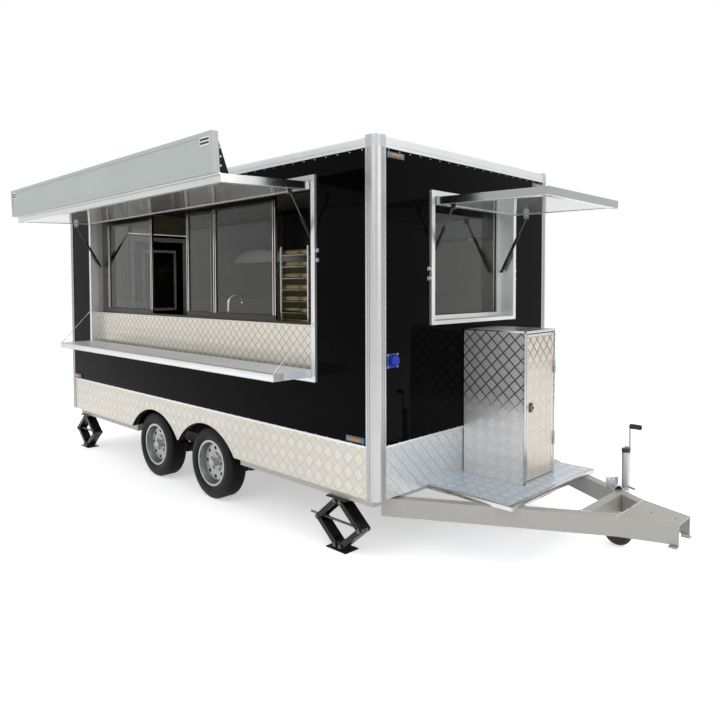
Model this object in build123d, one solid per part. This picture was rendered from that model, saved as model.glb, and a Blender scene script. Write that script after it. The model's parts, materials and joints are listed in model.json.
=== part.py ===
from build123d import *
import math
import os

# A towed food trailer: a box body on tandem axles, with a service hatch, a folding sign board, a
# folding shelf, a front hatch, a gas bottle box on the drawbar, a jockey wheel and corner jacks.
# Millimetres. +X points forwards along the drawbar, +Y to the left, +Z up. The origin lies on the
# ground under the middle of the whole outline, with the hatches open as the trailer trades.

# Body box
GROUND_CLEARANCE = 390.0
BODY_LENGTH = 4280.0
BODY_WIDTH = 2000.0
BODY_HEIGHT = 2120.0
WALL = 50.0
PANEL_INSET = 6.0
POST = 85.0
POST_RADIUS = 42.0
POST_GROOVE = 5.0
POST_GROOVE_DEPTH = 2.5
POST_GROOVES_FROM_INNER_EDGE = (18.0, 32.0)
SKIRT_HEIGHT = 310.0
ROOF_RAIL_HEIGHT = 72.0
ROOF_RAIL_DEPTH = 62.0
ROOF_RAIL_RADIUS = 22.0
ROOF_THICKNESS = 40.0
ROOF_DROP = 14.0
ROOF_CROWN = 10.0
FLOOR_THICKNESS = 50.0

# Drawbar
DRAWBAR_REACH = 1335.0
DRAWBAR_DROP = 17.0
DRAWBAR_DEPTH = 110.0
DRAWBAR_RAIL = 62.0
DRAWBAR_ROOT_HALF = 815.0
NOSE_LENGTH = 280.0
DRAWBAR_BEND_HALF = 195.0
DRAWBAR_TIP_HALF = 92.0
NOSE_PLATE = 8.0
NOSE_FOOT = 44.0
NOSE_FOOT_WIDTH = 30.0
NOSE_FOOT_DROP = 14.0
TIE_FROM_TIP = 475.0
TIE_WIDTH = 55.0
COUPLER_HOLE_RADIUS = 7.0
COUPLER_HOLE_SPACING = 130.0
COUPLER_HOLE_FROM_TIP = 45.0
PLATFORM_REACH = 600.0
PLATFORM_WIDTH = 1066.0
PLATFORM_SHEET = 5.0
PLATFORM_RISE = 8.0

# Gas bottle box
GAS_BOX_LENGTH = 450.0
GAS_BOX_WIDTH = 390.0
GAS_BOX_UNDER_FRAME = 40.0
GAS_BOX_OFFSET = 65.0
GAS_BOX_SHEET = 6.0
GAS_BOX_RIM = 14.0
GAS_BOX_LEAF = 12.0
GAS_BOX_DOOR = 18.0

# Chassis
CHASSIS_DEPTH = 120.0
CHASSIS_RAIL = 60.0
CHASSIS_RAIL_INSET = 320.0
SILL_WIDTH = 50.0
SILL_DEPTH = 60.0
SILL_INSET = 62.0
CROSS_WIDTH = 50.0
CROSS_DEPTH = 80.0
CROSS_COUNT = 5
END_BEAM = 60.0

# Wheels and axles
TYRE_RADIUS = 275.0
TYRE_WIDTH = 165.0
TREAD_WIDTH = 109.0
SHOULDER_WIDTH = 148.0
SHOULDER_DROP = 17.0
SHOULDER_RADIUS = 28.0
BEAD_RADIUS = 168.0
BEAD_WIDTH = 125.0
TYRE_INSET = 30.0
AXLE_SPACING = 850.0
AXLE_MIDDLE = 2195.0
AXLE_TUBE = 70.0
AXLE_TRAIL = 150.0
ARM_WIDTH = 30.0
ARM_RADIUS = 38.0
SPINDLE_RADIUS = 16.0
RIM_WALL = 7.0
RIM_FLANGE = 10.0
HUB_RADIUS = 48.0
HUB_CAP_RADIUS = 31.0
VENT_COUNT = 8
VENT_RADIUS = 15.0
VENT_CIRCLE = 112.0
VENT_LAND = 24.0
DISC_CROWN = 26.0
ARCH_HALF = 388.0
ARCH_RISE = 195.0
ARCH_SPACING = 790.0
WELL_DEPTH = 250.0
WELL_SHEET = 5.0
WELL_HEADROOM = 22.0
SPINDLE_REACH = 20.0
RUNNING_GAP = 0.3

# Frames round the two hatches
FRAME_BAR = 35.0
FRAME_SILL = 25.0
FRAME_PROUD = 12.0
FRAME_SLEEVE = 8.0
FRAME_DEPTH = 150.0
SERVICE_FROM_FRONT = 506.0
SERVICE_FROM_REAR = 500.0
SERVICE_BASE = 650.0
SERVICE_FROM_ROOF = 174.0
FRONT_FROM_SERVICE = 500.0
FRONT_WIDTH = 1007.0
FRONT_BASE_SHARE = 0.4755
FRONT_FROM_ROOF = 272.0

# Hatches, sign board and shelf
HATCH_GAP = 6.0
KNUCKLE_RADIUS = 6.0
KNUCKLE_DROP = 5.5
PANEL_THICKNESS = 46.0
SIGN_THICKNESS = 43.0
HATCH_SHARE = 0.5185
SIGN_SHARE = 0.176
SIGN_RIM = 24.0
SIGN_RECESS = 3.0
SERVICE_OPEN = 87.8
FRONT_OPEN = 89.0
GUSSET = 6.0
GUSSET_FOOT = 60.0
GUSSET_FROM_EDGE = 52.0
STAY_RADIUS = 2.5
STAY_ANCHOR_RISE = 340.0
STAY_INSET = 10.0

# Gas struts
STRUT_RADIUS = 11.0
ROD_RADIUS = 5.0
EYE_RADIUS = 9.0
EYE_WIDTH = 12.0
EYE_NECK = 6.5
PIN_RADIUS = 4.0
STRUT_FROM_JAMB = 22.0
BOSS_DEPTH = 72.0
BOSS_GAP = 1.0
BRACKET_STANDOFF = 26.0
BRACKET = 5.0
BRACKET_FOOT = 72.0
BRACKET_FOOT_WIDTH = 24.0
BRACKET_FOOT_SHEET = 4.0
SERVICE_BRACKET_SHARE = 0.238
SERVICE_BOSS_SHARE = 0.67
FRONT_BRACKET_SHARE = 0.169
FRONT_BOSS_SHARE = 0.588

# Windows
GLASS = 6.0
WINDOW_SETBACK = 107.0
SASH_DEPTH = 18.0
TRACK_GAP = 2.0
SASH_BAR = 34.0
TRACK = 26.0
SILL_PANEL_HEIGHT = 327.0
WINDOW_HEADER = 32.0
SILL_SETBACK = 58.0
MULLION_FROM_FRONT = 1820.0
REAR_STILE = 125.0
REAR_SASH = 860.0
FRONT_SASH_FROM_FRONT = 1040.0
MIDDLE_SASH_FROM_FRONT = 2225.0

# Rear door
DOOR_WIDTH = 760.0
DOOR_FROM_ROOF = 284.0
DOOR_THICKNESS = 45.0
DOOR_GAP = 6.0
DOOR_FLANGE = 34.0
DOOR_PROUD = 8.0
HANDLE_HEIGHT = 900.0
HINGE_RADIUS = 7.0
HINGE_LEAF = 26.0
HINGE_SHEET = 4.0
HINGE_LENGTH = 90.0

# Jockey wheel
JOCKEY_FROM_TIP = 473.0
JOCKEY_TUBE_RADIUS = 24.0
JOCKEY_TOP = 620.0
JOCKEY_TUBE_LENGTH = 370.0
JOCKEY_STEM_RADIUS = 20.0
JOCKEY_WHEEL_RADIUS = 90.0
JOCKEY_WHEEL_WIDTH = 48.0
JOCKEY_RIM_RADIUS = 56.0
JOCKEY_RIM_WIDTH = 34.0
JOCKEY_TREAD_RADIUS = 72.0
JOCKEY_TRAIL = 45.0
JOCKEY_CLEAR = 20.0
FORK_SHEET = 6.0
FORK_GAP = 2.0
CRANK_RADIUS = 7.0
CRANK_RISE = 140.0
CRANK_GRIP = 66.0
SADDLE_SHEET = 6.0
SADDLE_LENGTH = 60.0
SADDLE_HALF = 34.0
SADDLE_PLATE = 66.0
SADDLE_PLATE_HALF = 40.0
SADDLE_HOLE = 6.0
CLAMP_SCREW = 90.0

# Corner jacks
JACK_FROM_FRONT = 372.0
JACK_FROM_REAR = 210.0
JACK_INSET = 88.0
JACK_FOOT = 176.0
JACK_FOOT_WIDTH = 116.0
JACK_PLATE = 6.0
JACK_SPREAD = 185.0
JACK_HOOK = 100.0
JACK_PIVOT = 24.0
JACK_BLOCK = 40.0
JACK_INNER = 32.0
JACK_ARM = 34.0
JACK_WEB = 120.0
JACK_TRUNNION = 13.5

# Lamps and inlet
LAMP_LENGTH = 150.0
LAMP_HEIGHT = 36.0
LAMP_DEPTH = 18.0
LAMP_ROUND = 12.0
TAIL_WIDTH = 250.0
TAIL_HEIGHT = 96.0
TAIL_DEPTH = 34.0
TAIL_ROUND = 24.0
INLET_WIDTH = 84.0
INLET_HEIGHT = 70.0
INLET_DEPTH = 46.0
INLET_FOOT = 26.0
INLET_LIP = 21.0
INLET_BROW = 19.0
INLET_BASE = 780.0
INLET_FROM_SERVICE = 102.0

# Inside
COUNTER_HEIGHT = 905.0
COUNTER_DEPTH = 480.0
COUNTER_SHEET = 30.0
COUNTER_LEG = 38.0
COUNTER_SHELF = 250.0
SINK_LENGTH = 420.0
SINK_WIDTH = 320.0
SINK_DEPTH = 160.0
SINK_FROM_FRONT = 1720.0
TAP_RADIUS = 11.0
TAP_HEIGHT = 230.0
TAP_REACH = 130.0

# Places worked out from the sizes above
SERVICE_HEIGHT = BODY_HEIGHT - SERVICE_BASE - SERVICE_FROM_ROOF
HATCH_LENGTH = HATCH_SHARE * SERVICE_HEIGHT
SIGN_HEIGHT = SIGN_SHARE * SERVICE_HEIGHT
GUSSET_RISE = SIGN_HEIGHT - GUSSET_FROM_EDGE
SIGN_REACH = HATCH_LENGTH + KNUCKLE_DROP + SIGN_THICKNESS
REAR_REACH = JACK_SPREAD + JACK_HOOK - JACK_FROM_REAR
X_FRONT = (BODY_LENGTH + REAR_REACH - DRAWBAR_REACH) / 2
X_REAR = X_FRONT - BODY_LENGTH
Y_SERVICE = (SIGN_REACH - BODY_WIDTH) / 2
Y_OFF = Y_SERVICE + BODY_WIDTH
Y_MID = (Y_SERVICE + Y_OFF) / 2
Z_BASE = GROUND_CLEARANCE
Z_ROOF = Z_BASE + BODY_HEIGHT
Z_SKIRT = Z_BASE + SKIRT_HEIGHT
Z_RAIL = Z_ROOF - ROOF_RAIL_HEIGHT
Z_FLOOR = Z_BASE + FLOOR_THICKNESS
WALL_SPAN = (PANEL_INSET, PANEL_INSET + WALL)
SERVICE_LENGTH = BODY_LENGTH - SERVICE_FROM_FRONT - SERVICE_FROM_REAR
FRONT_BASE = FRONT_BASE_SHARE * BODY_HEIGHT
FRONT_HEIGHT = BODY_HEIGHT - FRONT_BASE - FRONT_FROM_ROOF
GAS_BOX_HEIGHT = FRONT_BASE - PLATFORM_RISE - GAS_BOX_UNDER_FRAME
DOOR_HEIGHT = BODY_HEIGHT - FLOOR_THICKNESS - DOOR_GAP - DOOR_FROM_ROOF
SILL_TOP = SERVICE_BASE + FRAME_SILL + SILL_PANEL_HEIGHT
WINDOW_TOP = SERVICE_BASE + SERVICE_HEIGHT - FRAME_BAR - WINDOW_HEADER
REAR_STILE_FROM_FRONT = SERVICE_FROM_FRONT + SERVICE_LENGTH - FRAME_BAR - REAR_STILE
DRAWBAR_BEND_REACH = DRAWBAR_REACH - NOSE_LENGTH
TIE_REACH = DRAWBAR_REACH - TIE_FROM_TIP
JOCKEY_REACH = DRAWBAR_REACH - JOCKEY_FROM_TIP


def back(distance):
    """X at a distance behind the front face of the body."""
    return X_FRONT - distance


def inward(distance):
    """Y at a distance inside the service face of the body."""
    return Y_SERVICE + distance


def up(height):
    """Z at a height above the lower edge of the skirt."""
    return Z_BASE + height


SERVICE_X = (back(SERVICE_FROM_FRONT + SERVICE_LENGTH - FRAME_BAR), back(SERVICE_FROM_FRONT + FRAME_BAR))
SERVICE_Z = (up(SERVICE_BASE + FRAME_SILL), up(SERVICE_BASE + SERVICE_HEIGHT - FRAME_BAR))
FRONT_Y = (inward(FRONT_FROM_SERVICE + FRAME_BAR), inward(FRONT_FROM_SERVICE + FRONT_WIDTH - FRAME_BAR))
FRONT_Z = (up(FRONT_BASE + FRAME_SILL), up(FRONT_BASE + FRONT_HEIGHT - FRAME_BAR))
HATCH_X = (SERVICE_X[0] + HATCH_GAP, SERVICE_X[1] - HATCH_GAP)
HATCH_AXIS_Z = SERVICE_Z[1] - KNUCKLE_DROP
SIGN_AXIS_Z = HATCH_AXIS_Z - HATCH_LENGTH - KNUCKLE_DROP
SHELF_AXIS_Z = SERVICE_Z[0] + KNUCKLE_DROP
SHELF_TOP_Z = SIGN_AXIS_Z - SIGN_HEIGHT - HATCH_GAP
SHELF_DEPTH = SHELF_TOP_Z - SHELF_AXIS_Z
FRONT_HATCH_Y = (FRONT_Y[0] + HATCH_GAP, FRONT_Y[1] - HATCH_GAP)
FRONT_AXIS_Z = FRONT_Z[1] - KNUCKLE_DROP
FRONT_HATCH_LENGTH = FRONT_AXIS_Z - FRONT_Z[0] - HATCH_GAP
RAIL_ANGLE = math.atan2(DRAWBAR_ROOT_HALF - DRAWBAR_BEND_HALF, DRAWBAR_BEND_REACH)
AXLES_X = {"front": back(AXLE_MIDDLE - AXLE_SPACING / 2), "rear": back(AXLE_MIDDLE + AXLE_SPACING / 2)}
WHEEL_Y = {"right": inward(TYRE_INSET + TYRE_WIDTH / 2), "left": Y_OFF - TYRE_INSET - TYRE_WIDTH / 2}
GAS_BOX_Y = (Y_MID + GAS_BOX_OFFSET - GAS_BOX_WIDTH / 2, Y_MID + GAS_BOX_OFFSET + GAS_BOX_WIDTH / 2)
GAS_BOX_X = (X_FRONT, X_FRONT + GAS_BOX_LENGTH)
GAS_BOX_Z = (up(PLATFORM_RISE), up(PLATFORM_RISE + GAS_BOX_HEIGHT))
DOOR_Y = (Y_MID - DOOR_WIDTH / 2, Y_MID + DOOR_WIDTH / 2)
DOOR_Z = (Z_FLOOR + DOOR_GAP, Z_FLOOR + DOOR_GAP + DOOR_HEIGHT)
JOCKEY_OUT = DRAWBAR_ROOT_HALF - math.tan(RAIL_ANGLE) * JOCKEY_REACH
JOCKEY_X = X_FRONT + JOCKEY_REACH + math.sin(RAIL_ANGLE) * (JOCKEY_TUBE_RADIUS + JOCKEY_CLEAR)
JOCKEY_Y = Y_MID + JOCKEY_OUT + math.cos(RAIL_ANGLE) * (JOCKEY_TUBE_RADIUS + JOCKEY_CLEAR)

# The gas struts: distance of the hatch bracket from the hinge, and of the lower boss below the hinge
STRUTS = {
    "service": {"bracket": SERVICE_BRACKET_SHARE * HATCH_LENGTH, "drop": SERVICE_BOSS_SHARE * HATCH_LENGTH},
    "front": {
        "bracket": FRONT_BRACKET_SHARE * FRONT_HATCH_LENGTH,
        "drop": FRONT_BOSS_SHARE * FRONT_HATCH_LENGTH,
    },
}


def bar(x, y, z):
    """A block between two limits on each axis."""
    centre = [(span[0] + span[1]) / 2 for span in (x, y, z)]
    size = [abs(span[1] - span[0]) for span in (x, y, z)]
    return Pos(*centre) * Box(*size)


def rod(start, end, radius):
    """A round bar between two points."""
    line = Vector(*end) - Vector(*start)
    plane = Plane(origin=start, z_dir=line)
    return extrude(plane * Circle(radius), amount=line.length)


def slab_y(points, y):
    """An outline of X and Z points, as thick as the Y limits."""
    face = Plane.XZ.offset(-y[0]) * make_face(Polyline(*points, close=True))
    return extrude(face, amount=y[1] - y[0], dir=(0, 1, 0))


def slab_z(points, z):
    """An outline of X and Y points, as thick as the Z limits."""
    face = Plane.XY.offset(z[0]) * make_face(Polyline(*points, close=True))
    return extrude(face, amount=z[1] - z[0])


def slab_x(points, x):
    """An outline of Y and Z points, as thick as the X limits."""
    face = Plane.YZ.offset(x[0]) * make_face(Polyline(*points, close=True))
    return extrude(face, amount=x[1] - x[0])


def grown(span, by):
    """Two limits moved apart."""
    return (span[0] - by, span[1] + by)


def mirrored(solid):
    """The same piece on the other side of the body's middle plane."""
    return mirror(solid, about=Plane.XZ.offset(-Y_MID))


def both_sides(solids):
    """Pieces of the service side together with their mirror images on the off side."""
    return list(solids) + [mirrored(solid) for solid in solids]


# Body shell

def corner_section(grooved):
    """Plan of a corner post whose rounded corner points to +X and +Y."""
    plan = Pos(-POST / 2, -POST / 2) * Rectangle(POST, POST)
    plan = fillet(plan.vertices().group_by(Axis.X)[-1].sort_by(Axis.Y)[-1], POST_RADIUS)
    if grooved:
        for distance in POST_GROOVES_FROM_INNER_EDGE:
            place = distance - POST
            plan -= Pos(0, place) * Rectangle(2 * POST_GROOVE_DEPTH, POST_GROOVE)
            plan -= Pos(place, 0) * Rectangle(POST_GROOVE, 2 * POST_GROOVE_DEPTH)
    return plan


def at_corners(section, z):
    """A corner section raised between two heights at each corner of the body."""
    corners = ((X_FRONT, Y_OFF, 0), (X_REAR, Y_OFF, 90), (X_REAR, Y_SERVICE, 180), (X_FRONT, Y_SERVICE, 270))
    return [
        extrude(Pos(x, y, z[0]) * Rot(0, 0, turn) * section, amount=z[1] - z[0]) for x, y, turn in corners
    ]


def corner_posts():
    """Rounded corner extrusions from the skirt's lower edge to the roof rail."""
    return at_corners(corner_section(True), (Z_BASE, Z_RAIL))


def corner_caps():
    """Cast corner blocks between the roof rails."""
    return at_corners(corner_section(False), (Z_RAIL, Z_ROOF))


def roof_rails():
    """Edge rails of the roof with a rounded outer shoulder and one groove."""
    section = Pos(ROOF_RAIL_DEPTH / 2, ROOF_RAIL_HEIGHT / 2) * Rectangle(ROOF_RAIL_DEPTH, ROOF_RAIL_HEIGHT)
    section = fillet(section.vertices().group_by(Axis.X)[-1].sort_by(Axis.Y)[-1], ROOF_RAIL_RADIUS)
    section -= Pos(ROOF_RAIL_DEPTH, ROOF_RAIL_HEIGHT / 4) * Rectangle(2 * POST_GROOVE_DEPTH, POST_GROOVE)
    inset = POST
    run_x = BODY_LENGTH - 2 * inset
    run_y = BODY_WIDTH - 2 * inset
    # Start of the run, outward direction, run direction and length
    sides = (
        ((X_FRONT - inset, Y_SERVICE + ROOF_RAIL_DEPTH), (0, -1, 0), (-1, 0, 0), run_x),
        ((X_REAR + inset, Y_OFF - ROOF_RAIL_DEPTH), (0, 1, 0), (1, 0, 0), run_x),
        ((X_FRONT - ROOF_RAIL_DEPTH, Y_OFF - inset), (1, 0, 0), (0, -1, 0), run_y),
        ((X_REAR + ROOF_RAIL_DEPTH, Y_SERVICE + inset), (-1, 0, 0), (0, 1, 0), run_y),
    )
    rails = []
    for start, outward, run, length in sides:
        plane = Plane(origin=(*start, Z_RAIL), x_dir=outward, z_dir=run)
        rails.append(extrude(plane * section, amount=length))
    return rails


def roof():
    """Crowned roof panel inside the roof rails."""
    y = (Y_SERVICE + ROOF_RAIL_DEPTH, Y_OFF - ROOF_RAIL_DEPTH)
    x = (X_REAR + ROOF_RAIL_DEPTH, X_FRONT - ROOF_RAIL_DEPTH)
    top = Z_ROOF - ROOF_DROP
    low = top - ROOF_CROWN - ROOF_THICKNESS
    edge = top - ROOF_CROWN
    outline = [
        Line((y[0], edge), (y[0], low)),
        Line((y[0], low), (y[1], low)),
        Line((y[1], low), (y[1], edge)),
        ThreePointArc((y[1], edge), (Y_MID, top), (y[0], edge)),
    ]
    panel = extrude(Plane.YZ.offset(x[0]) * make_face(outline), amount=x[1] - x[0])
    return panel - at_corners(corner_section(False), (low, Z_ROOF))


def floor():
    """Insulated floor between the skirts, cut out round the wheel wells."""
    clear = WALL_SPAN[1]
    panel = bar((X_REAR + clear, X_FRONT - clear), (inward(clear), Y_OFF - clear), (Z_BASE, Z_FLOOR))
    for well in both_sides([bar(*well_limits())]):
        panel -= well
    return panel - at_corners(corner_section(False), (Z_BASE, Z_FLOOR))


def well_limits():
    """Outer limits of the service side's wheel well."""
    half = ARCH_SPACING / 2 + ARCH_HALF + WELL_SHEET
    x = (back(AXLE_MIDDLE + half), back(AXLE_MIDDLE - half))
    return x, (inward(WALL_SPAN[1]), inward(WELL_DEPTH)), (Z_BASE, up(ARCH_RISE + WELL_HEADROOM))


def wheel_wells():
    """Sheet boxes over the wheels, open below and towards the arches."""
    x, y, z = well_limits()
    well = bar(x, y, z) - bar(grown(x, -WELL_SHEET), (y[0], y[1] - WELL_SHEET), (z[0], z[1] - WELL_SHEET))
    return both_sides([well])


def arch_cut():
    """Two low round arches over the wheels of the service side."""
    radius = (ARCH_HALF**2 + ARCH_RISE**2) / (2 * ARCH_RISE)
    cut = Part()
    for side in (-1, 1):
        centre = (back(AXLE_MIDDLE + side * ARCH_SPACING / 2), inward(0), up(ARCH_RISE - radius))
        cut += Pos(*centre) * Rot(90, 0, 0) * Cylinder(radius, 4 * WALL)
    return cut


def skirts():
    """Chequer plate panels round the foot of the body, split at the posts and at the rear door."""
    z = (Z_BASE, Z_SKIRT)
    long_x = (X_REAR + POST, X_FRONT - POST)
    cross_y = (Y_SERVICE + POST, Y_OFF - POST)
    side = bar(long_x, (inward(WALL_SPAN[0]), inward(WALL_SPAN[1])), z) - arch_cut()
    front = bar((back(WALL_SPAN[1]), back(WALL_SPAN[0])), cross_y, z)
    rear = bar((X_REAR + WALL_SPAN[0], X_REAR + WALL_SPAN[1]), cross_y, z) - door_hole()
    return [*both_sides([side]), front, rear]


def wall_block(side):
    """An upper wall panel as a plain block, above the skirt and between the posts."""
    z = (Z_SKIRT, Z_RAIL)
    long_x = (X_REAR + POST, X_FRONT - POST)
    cross_y = (Y_SERVICE + POST, Y_OFF - POST)
    spans = {
        "service": (long_x, (inward(WALL_SPAN[0]), inward(WALL_SPAN[1]))),
        "off": (long_x, (Y_OFF - WALL_SPAN[1], Y_OFF - WALL_SPAN[0])),
        "front": ((back(WALL_SPAN[1]), back(WALL_SPAN[0])), cross_y),
        "rear": ((X_REAR + WALL_SPAN[0], X_REAR + WALL_SPAN[1]), cross_y),
    }
    return bar(*spans[side], z)


def service_wall():
    """Service wall with the hole for the service frame."""
    hole = bar(grown(SERVICE_X, FRAME_SLEEVE), (inward(0), inward(2 * WALL)), grown(SERVICE_Z, FRAME_SLEEVE))
    return wall_block("service") - hole


def front_wall():
    """Front wall with the hole for the front window frame."""
    hole = bar((back(2 * WALL), back(0)), grown(FRONT_Y, FRAME_SLEEVE), grown(FRONT_Z, FRAME_SLEEVE))
    return wall_block("front") - hole


def off_wall():
    """Plain wall opposite the service side."""
    return wall_block("off")


def door_hole():
    """Hole for the rear door and its frame."""
    y = grown(DOOR_Y, DOOR_GAP + FRAME_SLEEVE)
    return bar((X_REAR, X_REAR + 2 * WALL), y, (Z_FLOOR, DOOR_Z[1] + DOOR_GAP + FRAME_SLEEVE))


def rear_wall():
    """Rear wall with the hole for the door."""
    return wall_block("rear") - door_hole()


# Frames, windows and hatches

def ring(outer, sleeve, clear):
    """A flange and a sleeve with one clear opening through both."""
    return bar(*outer) + bar(*sleeve) - bar(*clear)


def strut_ends(hatch):
    """Lower boss, open bracket pin and shut bracket pin as outward and up distances from the hinge."""
    sizes = STRUTS[hatch]
    turn = math.radians(SERVICE_OPEN if hatch == "service" else FRONT_OPEN)
    lower = (-BOSS_DEPTH, -sizes["drop"])
    closed = (-PANEL_THICKNESS - BRACKET_STANDOFF, -sizes["bracket"])
    opened = (
        closed[0] * math.cos(turn) - closed[1] * math.sin(turn),
        closed[0] * math.sin(turn) + closed[1] * math.cos(turn),
    )
    return lower, opened, closed


def strut_point(hatch, along, place):
    """A point of a strut in the trailer's frame, at a place along the hinge."""
    if hatch == "service":
        return (along, Y_SERVICE - place[0], HATCH_AXIS_Z + place[1])
    return (X_FRONT + place[0], along, FRONT_AXIS_Z + place[1])


def jambs(hatch):
    """Both inner faces of a frame and the direction from each into the opening."""
    span = SERVICE_X if hatch == "service" else FRONT_Y
    return ((span[0], 1), (span[1], -1))


def strut_bosses(hatch):
    """Bosses on the frame beside the lower eyes of the struts, clear of the barrels that pass them."""
    lower = strut_ends(hatch)[0]
    reach = STRUT_FROM_JAMB - STRUT_RADIUS - BOSS_GAP
    bosses = []
    for face, into in jambs(hatch):
        root = strut_point(hatch, face - into * FRAME_SLEEVE / 2, lower)
        bosses.append(rod(root, strut_point(hatch, face + into * reach, lower), EYE_RADIUS))
    return bosses


def service_frame():
    """Extruded frame round the service opening, with its hinge knuckles and strut bosses."""
    outer_x = grown(SERVICE_X, FRAME_BAR)
    outer_z = (SERVICE_Z[0] - FRAME_SILL, SERVICE_Z[1] + FRAME_BAR)
    flange = (outer_x, (inward(-FRAME_PROUD), inward(PANEL_INSET)), outer_z)
    sleeve_y = (inward(0), inward(FRAME_DEPTH))
    sleeve = (grown(SERVICE_X, FRAME_SLEEVE), sleeve_y, grown(SERVICE_Z, FRAME_SLEEVE))
    clear = (SERVICE_X, (inward(-2 * FRAME_PROUD), inward(2 * FRAME_DEPTH)), SERVICE_Z)
    frame = ring(flange, sleeve, clear)
    for height in (HATCH_AXIS_Z, SHELF_AXIS_Z):
        axis = ((HATCH_X[0], Y_SERVICE, height), (HATCH_X[1], Y_SERVICE, height))
        frame += rod(*axis, KNUCKLE_RADIUS)
    for boss in strut_bosses("service"):
        frame += boss
    return frame


def front_frame():
    """Extruded frame round the front window, with its hinge knuckle and strut bosses."""
    outer_y = grown(FRONT_Y, FRAME_BAR)
    outer_z = (FRONT_Z[0] - FRAME_SILL, FRONT_Z[1] + FRAME_BAR)
    flange = ((back(PANEL_INSET), back(-FRAME_PROUD)), outer_y, outer_z)
    sleeve = ((back(FRAME_DEPTH), back(0)), grown(FRONT_Y, FRAME_SLEEVE), grown(FRONT_Z, FRAME_SLEEVE))
    clear = ((back(2 * FRAME_DEPTH), back(-2 * FRAME_PROUD)), FRONT_Y, FRONT_Z)
    frame = ring(flange, sleeve, clear)
    axis = ((X_FRONT, FRONT_HATCH_Y[0], FRONT_AXIS_Z), (X_FRONT, FRONT_HATCH_Y[1], FRONT_AXIS_Z))
    frame += rod(*axis, KNUCKLE_RADIUS)
    for boss in strut_bosses("front"):
        frame += boss
    return frame


def sill_panel():
    """Chequer plate panel inside the service frame, below the windows."""
    return bar(SERVICE_X, (inward(SILL_SETBACK), inward(FRAME_DEPTH)), (SERVICE_Z[0], up(SILL_TOP)))


# Sashes of the service windows: distance of the front and rear edge behind the body's front, and track
SASHES = (
    (FRONT_SASH_FROM_FRONT, MULLION_FROM_FRONT - SASH_BAR / 2, 0),
    (MULLION_FROM_FRONT + SASH_BAR / 2, MIDDLE_SASH_FROM_FRONT, 1),
    (REAR_STILE_FROM_FRONT - REAR_SASH, REAR_STILE_FROM_FRONT, 0),
)


def track_y(track):
    """Depth limits of a sash in one of the two tracks."""
    start = WINDOW_SETBACK + track * (SASH_DEPTH + TRACK_GAP)
    return (inward(start), inward(start + SASH_DEPTH))


def service_windows():
    """Header, mullion and tracks of the sliding windows, and the sash frames that slide in them."""
    y = (inward(WINDOW_SETBACK), inward(FRAME_DEPTH))
    z = (up(SILL_TOP), SERVICE_Z[1])
    window_z = (up(SILL_TOP) + TRACK / 2, up(WINDOW_TOP))
    mullion = back(MULLION_FROM_FRONT)
    half = SASH_BAR / 2
    frame = bar(SERVICE_X, y, z)
    for span in ((back(REAR_STILE_FROM_FRONT), mullion - half), (mullion + half, SERVICE_X[1] - half)):
        frame -= bar(span, grown(y, WALL), window_z)
    pieces = [frame]
    for near, far, track in SASHES:
        outer = (back(far), back(near))
        sash = bar(outer, track_y(track), window_z)
        sash -= bar(grown(outer, -SASH_BAR), grown(track_y(track), WALL), grown(window_z, -SASH_BAR))
        pieces.append(sash)
    return pieces


def window_glass():
    """Panes in the sashes and in the front window."""
    window_z = (up(SILL_TOP) + TRACK / 2, up(WINDOW_TOP))
    panes = []
    for near, far, track in SASHES:
        x = (back(far), back(near))
        y = grown(track_y(track), (GLASS - SASH_DEPTH) / 2)
        panes.append(bar(grown(x, -SASH_BAR), y, grown(window_z, -SASH_BAR)))
    x = grown(front_sash_x(), GLASS / 2 - SASH_DEPTH)
    panes.append(bar(x, grown(FRONT_Y, -TRACK), grown(FRONT_Z, -TRACK)))
    return panes


def front_sash_x():
    """Depth limits of the front window's sash."""
    return (back(WINDOW_SETBACK + 2 * SASH_DEPTH), back(WINDOW_SETBACK))


def front_window():
    """Fixed sash inside the front frame."""
    x = front_sash_x()
    return bar(x, FRONT_Y, FRONT_Z) - bar(grown(x, WALL), grown(FRONT_Y, -TRACK), grown(FRONT_Z, -TRACK))


def turned(solid, centre, turn):
    """A piece turned about a point."""
    return Pos(*centre) * turn * Pos(*(-value for value in centre)) * solid


def opened(solid, hatch):
    """A piece of a hatch, modelled shut, turned to the open position."""
    if hatch == "service":
        return turned(solid, (0, Y_SERVICE, HATCH_AXIS_Z), Rot(-SERVICE_OPEN, 0, 0))
    return turned(solid, (X_FRONT, 0, FRONT_AXIS_Z), Rot(0, -FRONT_OPEN, 0))


def folded_up(solid):
    """The sign board, modelled in the plane of the shut hatch, turned square to the hatch."""
    return turned(solid, (0, Y_SERVICE, SIGN_AXIS_Z), Rot(-90, 0, 0))


def groove(start, end):
    """Room for a hinge knuckle in the edge of a panel."""
    return rod(start, end, KNUCKLE_RADIUS + RUNNING_GAP)


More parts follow.
